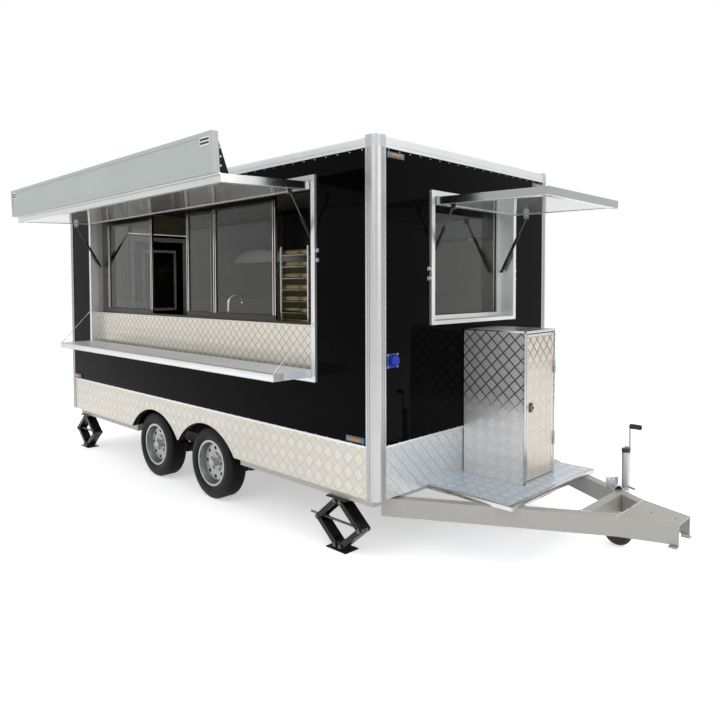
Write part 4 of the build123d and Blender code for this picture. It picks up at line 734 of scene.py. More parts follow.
@dataclass(frozen=True)
class Lens(Finish):
    """Moulded lamp lens with upright flutes."""

    pitch: float = 0.006
    depth: float = 0.0012
    tone: float = 0.55
    # Emission strength of the painted glow of light through the lens
    glow: float = 0.15

    def paint(self, graph: Graph, shader: bpy.types.Node) -> None:
        """Fluted plastic with a faint glow, painted light shining through the lens."""
        x, y, _ = graph.split(graph.place())
        flute = graph.math("PINGPONG", graph.math("DIVIDE", graph.plus(x, y), self.pitch), 0.5)
        # Painted glow of light through the lens
        shader.inputs["Emission Strength"].default_value = self.glow
        colour = graph.mix(graph.times(flute, 2.0), dim(self.colour, self.tone), self.colour)
        graph.feed(shader.inputs["Emission Color"], colour)
        self.shade(graph, shader, colour, None, flute, self.depth)


@dataclass(frozen=True)
class Rubber(Finish):
    """Rubber with pale scuffs and a fine grain."""

    scuff: float = 24.0
    worn: float = 1.8
    wear: float = 0.7
    skin: float = 300.0
    skin_depth: float = 0.0004

    def paint(self, graph: Graph, shader: bpy.types.Node) -> None:
        """Dark rubber, greyer where the road has worn it."""
        place = graph.place()
        scuff = graph.ramp(graph.noise(place, self.scuff, detail=8.0), 0.45, 0.8, (0.0, self.wear))
        colour = graph.mix(scuff, self.colour, dim(self.colour, self.worn))
        self.shade(graph, shader, colour, None, graph.noise(place, self.skin, detail=2.0), self.skin_depth)


BLACK_PANEL = GlossPanel("black_wall_panel", (0.0012, 0.0012, 0.0015), 0.04, mottle=0.3, specular=0.03)
DOOR_SKIN = GlossPanel("black_door_skin", (0.0012, 0.0012, 0.0015), 0.05, mottle=0.3, specular=0.03)
EXTRUSION_UPRIGHT = Brushed(
    "anodised_post", (0.515, 0.52, 0.515), 0.32, 1.0, stretch=(60.0, 60.0, 1.0), dust=0.12,
)
EXTRUSION_LONG = Brushed("anodised_rail", (0.80, 0.81, 0.82), 0.36, 1.0, stretch=(1.0, 60.0, 60.0))
CAP = Finish("cast_corner_cap", (0.50, 0.52, 0.54), 0.42, 0.8, grain=0.0003)
EXTRUSION = Brushed("anodised_frame", (0.82, 0.825, 0.83), 0.38, 0.85, stretch=(4.0, 4.0, 4.0), lines=60.0)
# Skirt plate; its end walls take a paler, bluer tint of painted light
TREAD = TreadPlate(
    "tread_plate_skirt", (0.75, 0.715, 0.65), 0.34, 0.8, seam=0.14, low=0.82, turned=0.90, depth=0.0010,
    ends=(0.84, 0.87, 0.90),
)
# Gas box plate: pale below and darkened above the fade, painted reflections of the skirt and the dark wall,
# with strong seams of painted reflection there
TREAD_BOX = TreadPlate(
    "tread_plate_box", (0.86, 0.845, 0.84), 0.30, 0.55, seam=1.0, fade=(0.80, 0.98), dark_wall_reflection=0.42,
    width=0.084, height=0.084,
)
# Gas box door plate: seams of painted dark reflection over its upper part
TREAD_DOOR = TreadPlate(
    "tread_plate_door", (0.75, 0.69, 0.60), 0.32, 0.6, seam=0.85, fade=(1.06, 1.24), width=0.084,
    height=0.084,
)
# Platform plate: a paler, bluer copy of the skirt plate for its upward faces as painted light, with deep
# painted shade between the bars
LIT_TREAD_STEP = TreadPlate(
    "lit_tread_plate_step", (0.80, 0.89, 0.97), 0.34, 0.4, seam=0.3, low=0.7, turned=0.86, width=0.084,
    height=0.084,
)
TREAD_FINE = TreadPlate(
    "tread_plate_sill", (0.84, 0.79, 0.70), 0.30, 0.9, width=0.075, height=0.072, seam=0.4,
)
CHASSIS = Galvanised(
    "chassis_zinc", (0.50, 0.485, 0.455), 0.45, 0.45, spangle=60.0, mottle=0.06, dust=0.2, dust_top=0.5,
)
DRAWBAR = Galvanised("drawbar_zinc", (0.39, 0.382, 0.36), 0.42, 0.35, spangle=110.0, mottle=0.04)
AXLE = Finish(
    "axle_paint", (0.010, 0.010, 0.011), 0.45, dust=0.12, dust_top=0.5, grain=0.0004, specular=0.2,
)
FLOOR_SHEET = TreadPlate("floor_tread_sheet", (0.30, 0.31, 0.32), 0.42, 0.6, width=0.04, height=0.06)
UNDERSEAL = Finish(
    "wheel_well_underseal", (0.004, 0.004, 0.004), 0.7, grain=0.0012, dust=0.03, specular=0.1,
)
# Roof lining darker still: painted shade of the ceiling
ROOF_SHEET = GlossPanel("white_roof_sheet", (0.72, 0.72, 0.70), 0.35, lining=(0.10, 0.095, 0.085))
SASH = Brushed("bronze_sash", (0.060, 0.055, 0.050), 0.22, 1.0, stretch=(60.0, 60.0, 1.0))
GLASS = Glazing("window_pane", (0.88, 0.92, 0.89))
HATCH = HatchSkin(
    "lined_hatch_panel", (0.38, 0.36, 0.32), 0.16, outward=(0.0, -0.0384, 0.9993), specular=0.06,
    inner_coat=0.9,
)
FRONT_HATCH = HatchSkin(
    "front_hatch_panel", (0.36, 0.36, 0.345), 0.18, outward=(0.0175, 0.0, 0.9998),
    edge=(0.39, 0.40, 0.40), specular=0.06, inner_coat=0.9,
)
SIGN = SignSkin(
    "sign_panel", (0.48, 0.525, 0.51), 0.34, outward=(0.0, 0.9993, 0.0384), specular=0.08,
    edge=(0.40, 0.42, 0.415), edge_metallic=0.5,
)
SHELF = Brushed("shelf_sheet", (0.80, 0.87, 0.90), 0.32, 0.15, stretch=(1.0, 40.0, 40.0), lines=30.0)
WIRE = Finish("bright_stay_wire", (0.62, 0.62, 0.63), 0.3, 1.0)
ZINC = Galvanised("bright_zinc", (0.50, 0.51, 0.525), 0.30, 1.0, spangle=90.0)
JOCKEY_RUBBER = Rubber("jockey_tyre_rubber", (0.016, 0.016, 0.016), 0.6)
JACK = Finish(
    "black_jack_paint", (0.004, 0.004, 0.0045), 0.3, dust=0.06, dust_top=0.2, grain=0.0003,
    specular=0.3,
)
SCREW = Finish("oiled_screw", (0.16, 0.155, 0.15), 0.35, 1.0)
AMBER = Lens("amber_lamp_lens", (0.62, 0.22, 0.010), 0.25, coat=0.2, glow=0.02)
RED = Lens("red_lamp_lens", (0.34, 0.004, 0.004), 0.2, coat=0.15, glow=0.03, specular=0.3)
BLUE = Finish("blue_inlet", (0.004, 0.035, 0.36), 0.3, grain=0.0002, specular=0.25)
STAINLESS = Brushed("bench_stainless", (0.56, 0.565, 0.57), 0.28, 1.0, stretch=(1.0, 50.0, 50.0))
CHROME = Finish("bright_tap_chrome", (0.72, 0.72, 0.73), 0.06, 1.0)
STRUT_BLACK = Finish("strut_barrel", (0.004, 0.004, 0.004), 0.3, specular=0.2)
STRUT_ROD = Finish("dark_strut_rod", (0.055, 0.055, 0.058), 0.25, 0.8)
TYRE = Rubber("tyre_rubber", (0.0075, 0.0075, 0.008), 0.5, dust=0.03, dust_top=0.25, specular=0.16)
WHEEL = Finish(
    "silver_wheel_paint", (0.42, 0.425, 0.425), 0.30, 0.85, mottle=0.05, coat=0.2, dust=0.03,
    dust_top=0.4,
)
RIVET = Finish("rivet_head", (0.58, 0.585, 0.59), 0.3, 1.0)
BLACK_RUBBER = Finish("rubber_seal", (0.012, 0.012, 0.012), 0.55, grain=0.0002)
BLACK_PLASTIC = Finish("black_plastic", (0.012, 0.012, 0.013), 0.4, grain=0.0003)
LAMP_BASE = Finish("lamp_base", (0.05, 0.14, 0.20), 0.3, coat=0.2, grain=0.0002)
CASTING = Finish("corner_casting", (0.42, 0.425, 0.43), 0.38, 0.85, grain=0.0003)
# Bright beads of the sash stiles: polished edges brightened into painted highlight lines
HIGHLIGHT_BEAD = Finish("bright_bead_highlight", (0.86, 0.84, 0.80), 0.16, 1.0)
EDGE = Brushed("polished_edge", (0.66, 0.665, 0.67), 0.24, 1.0, stretch=(6.0, 6.0, 6.0), lines=50.0)
BLUE_DARK = Finish("inlet_plate", (0.004, 0.022, 0.17), 0.36, grain=0.0003)
TRAY = Finish("baking_tray", (0.22, 0.17, 0.09), 0.28, 1.0, mottle=0.3)
CUPBOARD = Finish("cupboard_laminate", (0.018, 0.017, 0.016), 0.3, grain=0.0002, specular=0.3)
WHITE_TRIM = Finish("white_trim", (0.74, 0.74, 0.72), 0.4, grain=0.0002)
DARK_PANE = Finish("dark_pane", (0.012, 0.013, 0.014), 0.08, mottle=0.3)

# Nodes that take each finish
FINISH_NODES: dict[Finish, str] = {
    CHASSIS: "chassis_rails chassis_crossmembers",
    DRAWBAR: "drawbar",
    LIT_TREAD_STEP: "drawbar_platform",
    AXLE: "axles",
    FLOOR_SHEET: "floor",
    UNDERSEAL: "wheel_wells",
    BLACK_PANEL: "service_wall front_wall off_wall rear_wall",
    TREAD: "skirts",
    EXTRUSION_UPRIGHT: "corner_posts",
    EXTRUSION_LONG: "roof_rails",
    CAP: "corner_caps",
    ROOF_SHEET: "roof",
    EXTRUSION: "service_frame front_frame front_window rear_door_frame",
    TREAD_FINE: "sill_panel",
    SASH: "service_windows",
    GLASS: "window_glass",
    HATCH: "service_hatch",
    SIGN: "sign_board",
    SHELF: "counter_shelf",
    WIRE: "shelf_stays",
    FRONT_HATCH: "front_hatch",
    TREAD_BOX: "gas_box",
    TREAD_DOOR: "gas_box_door",
    DOOR_SKIN: "rear_door",
    ZINC: "jockey_mount jockey_crank jockey_fork",
    JOCKEY_RUBBER: "jockey_wheel",
    JACK: "jack_heads jack_arms jack_feet",
    SCREW: "jack_screws",
    AMBER: "marker_lamps",
    RED: "tail_lamps",
    BLUE: "power_inlet",
    STAINLESS: "inner_counter",
    CHROME: "sink_tap",
    STRUT_BLACK: "service_strut_barrels front_strut_barrels",
    STRUT_ROD: "service_strut_rods front_strut_rods",
}
NODE_FINISHES = {name: finish for finish, names in FINISH_NODES.items() for name in names.split()}


class Cladding:
    """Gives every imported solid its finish."""

    def dress(self) -> None:
        """Assigns the finishes, tyres and wheels by their names."""
        for name, node in frame["nodes"].items():
            finish = NODE_FINISHES.get(name)
            if finish is None:
                finish = TYRE if name.startswith("tyre") else WHEEL
            node.data.materials.clear()
            node.data.materials.append(finish.material())
            LOG.info("%s takes %s", name, finish.name)


class Shaper:
    """Collects the shapes of one piece and turns them into an object."""

    def __init__(self, name: str, finish: Finish, slot: str, body: str = "trailer") -> None:
        """Starts an empty piece.

        Args:
            name: Name of the piece.
            finish: Its finish.
            slot: Material slot of the record; kept on the piece but not used.
            body: Body that it rides on.
        """
        self.name = name
        self.finish = finish
        self.slot = slot
        self.body = body
        self.mesh = bmesh.new()

    def block(self, low: Point, high: Point, bevel: float = 0.0, place: Matrix | None = None) -> None:
        """Adds a box with rounded edges.

        Args:
            low: Lowest corner.
            high: Highest corner.
            bevel: Width of the rounding.
            place: Matrix applied to the box.
        """
        low, high = Vector(low), Vector(high)
        size = Matrix.Diagonal((*(high - low), 1.0))
        centre = Matrix.Translation((low + high) / 2)
        made = bmesh.ops.create_cube(self.mesh, size=1.0, matrix=(place or Matrix()) @ centre @ size)
        if bevel:
            edges = list({edge for vert in made["verts"] for edge in vert.link_edges})
            bmesh.ops.bevel(
                self.mesh, geom=edges, offset=bevel, segments=2, profile=0.5, affect="EDGES", material=-1
            )

    def round(
        self, start: Point, end: Point, radius: float, tip: float | None = None, sides: int = 24
    ) -> None:
        """Adds a round, six-sided or tapering bar between two points.

        Args:
            start: First end.
            end: Second end.
            radius: Radius at the first end.
            tip: Radius at the second end, the same where it is None.
            sides: Number of sides.
        """
        start, end = Vector(start), Vector(end)
        line = end - start
        place = Matrix.Translation((start + end) / 2) @ line.to_track_quat("Z", "Y").to_matrix().to_4x4()
        top = radius if tip is None else tip
        bmesh.ops.create_cone(
            self.mesh, cap_ends=True, segments=sides, radius1=radius, radius2=top, depth=line.length,
            matrix=place,
        )

    def dome(
        self, centre: Point, outward: Vector, radius: float, height: float, sides: int = 8, rings: int = 4
    ) -> None:
        """Adds a flat dome, sunk to its middle.

        Args:
            centre: Middle of its foot.
            outward: Direction it points to.
            radius: Its radius.
            height: Its height.
            sides: Faces round it.
            rings: Faces over it.
        """
        turn = outward.to_track_quat("Z", "Y").to_matrix().to_4x4()
        place = Matrix.Translation(centre) @ turn @ Matrix.Diagonal((radius, radius, height, 1.0))
        bmesh.ops.create_uvsphere(self.mesh, u_segments=sides, v_segments=rings, radius=1.0, matrix=place)

    def head(self, place: Point, outward: Vector, radius: float = 0.0045, height: float = 0.002) -> None:
        """Adds the domed head of a screw, a rivet or a bolt."""
        self.dome(place, outward, radius, height, sides=10, rings=6)

    def border(
        self, low: Point, high: Point, thin: int, width: float, bevel: float, place: Matrix | None = None
    ) -> None:
        """Adds two uprights along the edges of an upright panel and two bars between them.

        Args:
            low: Panel's lowest corner.
            high: Panel's highest corner.
            thin: Axis across the panel.
            width: Width of the bars.
            bevel: Rounding of their edges.
            place: Matrix applied to the bars.
        """
        wide = 1 - thin
        for axis in (wide, 2):
            for end, into in ((low[axis], 1.0), (high[axis], -1.0)):
                a, b = Vector(low), Vector(high)
                a[axis], b[axis] = sorted((end, end + into * width))
                if axis == 2:
                    a[wide] += width
                    b[wide] -= width
                self.block(a, b, bevel, place)

    def turn(
        self, outline: list[Point], centre: Point, axis: Point, steps: int,
        angle: float = math.tau, rise: float = 0.0,
    ) -> None:
        """Spins an outline round an axis.

        Args:
            outline: Points of the outline, closed.
            centre: A point of the axis.
            axis: Direction of the axis.
            steps: Number of steps.
            angle: Angle to spin through.
            rise: Way along the axis at each step.
        """
        verts = [self.mesh.verts.new(point) for point in outline]
        edges = [self.mesh.edges.new(pair) for pair in zip(verts, verts[1:] + verts[:1])]
        whole = math.isclose(angle, math.tau) and not rise
        bmesh.ops.spin(
            self.mesh, geom=verts + edges, cent=centre, axis=axis, dvec=Vector(axis) * rise, angle=angle,
            steps=steps, use_merge=whole, use_duplicate=False,
        )
        if not whole:
            self.close()

    def close(self) -> None:
        """Fills what is open."""
        rims = [edge for edge in self.mesh.edges if edge.is_boundary]
        bmesh.ops.holes_fill(self.mesh, edges=rims, sides=0)

    def done(self, sharp: float = 35.0) -> bpy.types.Object:
        """Makes the object and lets it ride.

        Args:
            sharp: Angle in degrees over which an edge stays sharp.

        Returns:
            The new object.
        """
        bmesh.ops.recalc_face_normals(self.mesh, faces=self.mesh.faces)
        for face in self.mesh.faces:
            face.smooth = True
        data = bpy.data.meshes.new(self.name)
        self.mesh.to_mesh(data)
        self.mesh.free()
        data.set_sharp_from_angle(angle=math.radians(sharp))
        data.materials.append(self.finish.material())
        piece = bpy.data.objects.new(self.name, data)
        bpy.context.scene.collection.objects.link(piece)
        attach(piece, self.body)
        LOG.info("%s rides on %s with %d faces", self.name, self.body, len(data.polygons))
        return piece


def spread(low: float, high: float, pitch: float) -> list[float]:
    """Even places between two limits.

    Args:
        low: First place.
        high: Last place.
        pitch: Wanted distance between places.

    Returns:
        Places from low to high.
    """
    count = max(1, round((high - low) / pitch))
    return [low + (high - low) * index / count for index in range(count + 1)]


def joint_entry(joint: str) -> dict:
    """A joint's entry in the frame."""
    return next(entry for entry in frame["joints"] if entry["name"] == joint)


def resting(joint: str) -> Matrix:
    """Matrix that takes a moving piece from the far end of its joint to its rest.

    Args:
        joint: Name of the joint.

    Returns:
        The matrix.
    """
    found = joint_entry(joint)
    place = Vector(found["pos_m"])
    turn = Matrix.Rotation(-math.radians(found["range_deg"][1]), 4, Vector(found["axis"]))
    return Matrix.Translation(place) @ turn @ Matrix.Translation(-place)


def joint_place(joint: str) -> Vector:
    """A point of a joint's axis."""
    return Vector(joint_entry(joint)["pos_m"])


def corners() -> list[tuple[float, float, int, int]]:
    """Corners of the body from above.

    Returns:
        X and Y of each corner and the signs of the ways into the body.
    """
    return [
        (x, y, into_x, into_y)
        for x, into_x in ((BODY.front, -1), (BODY.rear, 1))
        for y, into_y in ((BODY.service, 1), (BODY.off, -1))
    ]


def separate_boxes(node: str) -> list[tuple[Vector, Vector]]:
    """Boxes of the separate solids of a node.

    Args:
        node: Name of the node.

    Returns:
        Lowest and highest corner of each solid.
    """
    mesh = bmesh.new()
    mesh.from_mesh(frame["nodes"][node].data)
    mesh.transform(frame["nodes"][node].matrix_world)
    bmesh.ops.remove_doubles(mesh, verts=mesh.verts, dist=1e-5)
    left, boxes = set(mesh.verts), []
    while left:
        queue, found = [left.pop()], []
        while queue:
            vert = queue.pop()
            found.append(vert.co.copy())
            near = {edge.other_vert(vert) for edge in vert.link_edges} & left
            left -= near
            queue += near
        boxes.append((Vector(map(min, zip(*found))), Vector(map(max, zip(*found)))))
    mesh.free()
    return boxes


@dataclass
class Fastenings:
    """Rivets and edge trims of the body shell."""

    post: float = 0.085
    panel_inset: float = 0.006
    pitch: float = 0.1
    radius: float = 0.0042
    height: float = 0.0022
    from_edge: float = 0.008
    under_rail: float = 0.008
    margin: float = 0.03
    trim_height: float = 0.014
    trim_proud: float = 0.003

    def build(self) -> None:
        """Builds the rivets and the trims."""
        self.rivets()
        self.trims()

    def rivets(self) -> None:
        """Rows of rivets along the posts, under the rails and along the skirts."""
        piece = Shaper("body_rivets", RIVET, "extrusion")
        inner = self.post - self.from_edge
        for x, y, into_x, into_y in corners():
            for z in spread(BODY.base + self.margin, BODY.rail - self.margin, self.pitch):
                self.rivet(piece, (x + into_x * inner, y, z), Vector((0, -into_y, 0)))
                self.rivet(piece, (x, y + into_y * inner, z), Vector((-into_x, 0, 0)))
        end = self.post + self.margin
        long_x = spread(BODY.rear + end, BODY.front - end, self.pitch)
        cross_y = spread(BODY.service + end, BODY.off - end, self.pitch)
        top = BODY.rail - self.under_rail
        for z in (top, BODY.skirt + self.under_rail):
            for x in long_x:
                self.rivet(piece, (x, BODY.service + self.panel_inset, z), Side.SERVICE.outward)
                self.rivet(piece, (x, BODY.off - self.panel_inset, z), Side.OFF.outward)
            for y in cross_y:
                self.rivet(piece, (BODY.front - self.panel_inset, y, z), Side.FRONT.outward)
        for y in cross_y:
            self.rivet(piece, (BODY.rear + self.panel_inset, y, top), Side.REAR.outward)
        piece.done()

    def rivet(self, piece: Shaper, place: Point, outward: Vector) -> None:
        """Adds one rivet head."""
        piece.dome(place, outward, self.radius, self.height)

    def trims(self) -> None:
        """Bright strips along the top of the skirts."""
        piece = Shaper("skirt_trims", EXTRUSION_LONG, "extrusion")
        low, high = BODY.skirt - self.trim_height / 2, BODY.skirt + self.trim_height / 2
        sunk = self.panel_inset + self.trim_proud
        x = (BODY.rear + self.post, BODY.front - self.post)
        y = (BODY.service + self.post, BODY.off - self.post)
        proud = self.panel_inset - self.trim_proud
        bevel = self.trim_proud / 2
        piece.block((x[0], BODY.service + proud, low), (x[1], BODY.service + sunk, high), bevel)
        piece.block((x[0], BODY.off - sunk, low), (x[1], BODY.off - proud, high), bevel)
        piece.block((BODY.front - sunk, y[0], low), (BODY.front - proud, y[1], high), bevel)
        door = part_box("rear_door_frame")
        for span in ((y[0], door[0].y), (door[1].y, y[1])):
            piece.block((BODY.rear + proud, span[0], low), (BODY.rear + sunk, span[1], high), bevel)
        piece.done()


@dataclass
class CornerCaps:
    """Ribs cast on the corner caps."""

    post: float = 0.085
    radius: float = 0.042
    rib: float = 0.0022
    flat_ribs: int = 5
    arc_ribs: int = 7
    margin: float = 0.005

    def build(self) -> None:
        """Half-round upright ribs round each cap's outer faces."""
        piece = Shaper("corner_cap_ribs", CAP, "extrusion")
        low, high = BODY.rail + self.margin, BODY.roof - 2 * self.margin
        for x, y, into_x, into_y in corners():
            for place in self.plan():
                at = (x + into_x * place.x, y + into_y * place.y)
                piece.round((*at, low), (*at, high), self.rib, sides=8)
        piece.done()

    def plan(self) -> list[Vector]:
        """Places of the ribs as distances inwards from the corner.

        Returns:
            One place for each rib.
        """
        places = []
        pitch = (self.post - self.radius) / self.flat_ribs
        for along in spread(self.radius, self.post - self.margin, pitch):
            places += [Vector((along, 0.0)), Vector((0.0, along))]
        for index in range(1, self.arc_ribs):
            angle = index * math.pi / 2 / self.arc_ribs
            places.append(self.radius * Vector((1 - math.sin(angle), 1 - math.cos(angle))))
        return places


@dataclass
class ArchLiner:
    """Black liners inside the wheel arches of both skirts."""

    half: float = 0.388
    rise: float = 0.195
    spacing: float = 0.790
    sheet: float = 0.004
    inset: float = 0.010
    depth: float = 0.052
    steps: int = 28

    def build(self) -> None:
        """Bends a strip along each arch."""
        piece = Shaper("arch_liners", UNDERSEAL, "well_sheet")
        radius = (self.half**2 + self.rise**2) / (2 * self.rise)
        inner = radius - self.sheet
        sweep = math.asin(self.half / radius)
        start = Matrix.Rotation(-sweep, 3, "Y")
        wheels = [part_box(f"tyre_{axle}_right") for axle in ("front", "rear")]
        middle = sum((box[0].x + box[1].x) / 2 for box in wheels) / 2
        for side in (-1, 1):
            centre = Vector((middle + side * self.spacing / 2, 0.0, BODY.base + self.rise - radius))
            for near, far in (
                (BODY.service + self.inset, BODY.service + self.depth),
                (BODY.off - self.depth, BODY.off - self.inset),
            ):
                outline = [
                    centre + start @ Vector((0.0, 0.0, distance)) + Vector((0.0, y, 0.0))
                    for distance, y in ((radius, near), (radius, far), (inner, far), (inner, near))
                ]
                piece.turn(outline, centre, (0.0, 1.0, 0.0), self.steps, 2 * sweep)
        piece.done()


@dataclass
class RoadWheel:
    """Detailed tyre and wheel fittings of one hub."""

    axle: str
    side: str
    tread_half: float = 0.056
    groove: float = 0.0075
    groove_foot: float = 0.6
    groove_depth: float = 0.007
    groove_places: tuple[float, ...] = (-0.030, 0.0, 0.030)
    # Wall from the shoulder to the bead: share of the half width and distance below the tread
    wall: tuple[Span, ...] = (
        (0.76, 0.003), (0.85, 0.010), (0.895, 0.019), (0.92, 0.026), (0.935, 0.0275), (0.945, 0.033),
        (0.975, 0.046), (0.990, 0.056), (0.985, 0.060), (0.978, 0.0605), (0.975, 0.066), (0.955, 0.076),
        (0.92, 0.084), (0.90, 0.0845), (0.885, 0.090), (0.83, 0.096), (0.765, 0.099), (0.74, 0.106),
    )
    pitches: int = 54
    steps: int = 3
    sipe: float = 0.0012
    sipe_depth: float = 0.0045
    sipe_below: float = 0.006
    sipe_half: float = 0.86
    sharp: float = 50.0
    disc: float = 0.012
    nut_circle: float = 0.066
    nut_radius: float = 0.0105
    nut_height: float = 0.017
    nut_dome: float = 0.0084
    nut_dome_height: float = 0.005
    nut_turn: float = 0.3
    nut_count: int = 5
    drum: float = 0.128
    drum_span: Span = (-0.045, 0.006)
    drum_bead: float = 0.004
    cap: float = 0.0312
    cap_at: float = 0.0675
    cap_height: float = 0.006
    cap_ring: float = 0.0318
    cap_bead: float = 0.0025
    rim: float = 0.1745
    rim_bead: float = 0.003
    rim_inset: float = 0.0035
    valve_at: float = 0.149
    valve_stem: Point = (-0.010, 0.030, 0.0)
    valve_cap: Point = (-0.003, 0.009, 0.0)
    valve_radii: Point = (0.0055, 0.0042, 0.0035)

    def __post_init__(self) -> None:
        """Finds the hub's middle and the direction out of the body."""
        low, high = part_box(f"tyre_{self.axle}_{self.side}")
        self.centre = (low + high) / 2
        self.radius = (high.z - low.z) / 2
        self.half = (high.y - low.y) / 2
        self.out = -1.0 if self.side == "right" else 1.0
        self.outward = Vector((0.0, self.out, 0.0))
        self.body = f"road_wheel_{self.axle}_{self.side}"

    def build(self) -> None:
        """Builds the tyre and the fittings."""
        self.tyre()
        self.nuts()
        self.brake_drum_in_shade()
        self.hub_cap()
        self.valve()

    def start(self, name: str, finish: Finish, slot: str) -> Shaper:
        """Starts a piece that turns with the wheel."""
        return Shaper(f"{name}_{self.axle}_{self.side}", finish, slot, self.body)

    def at(self, reach: float, x: float = 0.0, z: float = 0.0) -> Vector:
        """Point by its distance out along the axle and its offset from the axle."""
        return self.centre + Vector((x, self.out * reach, z))

    def outline(self) -> list[Span]:
        """Section of the tyre as radius and offset along the axle.

        Returns:
            Points round the section.
        """
        top, floor = self.radius, self.radius - self.groove_depth
        crown = [(top, -self.tread_half)]
        for place in self.groove_places:
            wide = self.groove / 2
            foot = self.groove_foot * wide
            crown += [(top, place - wide), (floor, place - foot), (floor, place + foot), (top, place + wide)]
        crown.append((top, self.tread_half))
        upper = [(top - drop, share * self.half) for share, drop in self.wall]
        lower = [(radius, -offset) for radius, offset in reversed(upper)]
        return lower + crown + upper

    def tyre(self) -> None:
        """Spins the section and cuts sipes into the ribs."""
        piece = self.start("detailed_tyre", TYRE, "tyre")
        outline = [self.centre + Vector((0.0, offset, radius)) for radius, offset in self.outline()]
        piece.turn(outline, self.centre, Side.OFF.value, self.steps * self.pitches)
        bmesh.ops.recalc_face_normals(piece.mesh, faces=piece.mesh.faces)
        sipes = [face for face in piece.mesh.faces if self.is_sipe(face)]
        bmesh.ops.inset_individual(piece.mesh, faces=sipes, thickness=self.sipe, depth=-self.sipe_depth)
        LOG.info("%s has %d sipes", piece.name, len(sipes))
        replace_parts(piece.done(self.sharp), f"tyre_{self.axle}_{self.side}")

    def is_sipe(self, face: bmesh.types.BMFace) -> bool:
        """Picks one face in each pitch round the ribs, shifted from rib to rib.

        Args:
            face: A face of the tyre.

        Returns:
            Whether a sipe is cut into it.
        """
        middle = face.calc_center_median() - self.centre
        around = Vector((middle.x, middle.z))
        if around.length < self.radius - self.sipe_below or abs(middle.y) > self.sipe_half * self.half:
            return False
        share = (math.atan2(around.x, around.y) % math.tau) / math.tau
        rib = sum(middle.y > place for place in self.groove_places)
        return (math.floor(share * self.steps * self.pitches) + rib) % self.steps == 0

    def nuts(self) -> None:
        """Wheel nuts with domed ends."""
        piece = self.start("wheel_nuts", ZINC, "wheel_steel")
        for index in range(self.nut_count):
            angle = index * math.tau / self.nut_count + self.nut_turn
            x, z = self.nut_circle * math.cos(angle), self.nut_circle * math.sin(angle)
            end = self.at(self.disc + self.nut_height, x, z)
            piece.round(self.at(self.disc, x, z), end, self.nut_radius, sides=6)
            piece.head(end, self.outward, self.nut_dome, self.nut_dome_height)
        piece.done()

    def brake_drum_in_shade(self) -> None:
        """Drum behind the wheel's disc, black as painted shade so that the vents read dark."""
        # Black so that the vents read as dark holes: painted shade
        piece = self.start("brake_drum_in_shade", BLACK_PLASTIC, "axle_steel")
        inner, outer = (self.at(reach) for reach in self.drum_span)
        piece.round(inner, outer, self.drum, sides=48)
        self.ring(piece, inner.y, self.drum, self.drum_bead, 48)
        piece.done()

    def hub_cap(self) -> None:
        """Domed cap with a bead, and the bead of the rim."""
        piece = self.start("hub_cap", WHEEL, "wheel_steel")
        foot = self.at(self.cap_at)
        piece.dome(foot, self.outward, self.cap, self.cap_height, sides=24, rings=8)
        self.ring(piece, foot.y - self.out * self.cap_height, self.cap_ring, self.cap_bead, 32)
        low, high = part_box(f"wheel_{self.axle}_{self.side}")
        lip = high.y if self.out > 0 else low.y
        self.ring(piece, lip - self.out * self.rim_inset, self.rim, self.rim_bead, 64)
        piece.done()

    def valve(self) -> None:
        """Rubber valve with its cap."""
        piece = self.start("valve", BLACK_RUBBER, "tyre")
        stem, cap = (Vector((x, self.out * y, z)) for x, y, z in (self.valve_stem, self.valve_cap))
        root = self.at(self.disc, self.valve_at)
        foot, neck, top = self.valve_radii
        piece.round(root, root + stem, foot, neck, 12)
        piece.round(root + stem, root + stem + cap, top, sides=10)
        piece.done()

    def ring(self, piece: Shaper, y: float, radius: float, wire: float, steps: int) -> None:
        """Adds a round bead about the axle.

        Args:
            piece: Piece that takes it.
            y: Place along the axle.
            radius: Radius of the bead's middle.
            wire: Radius of its section.
            steps: Steps round the axle.
        """
        angles = [index * math.tau / 8 for index in range(8)]
        middle = Vector((self.centre.x, y, self.centre.z + radius))
        outline = [middle + wire * Vector((0.0, math.sin(angle), math.cos(angle))) for angle in angles]
        piece.turn(outline, self.centre, Side.OFF.value, steps)


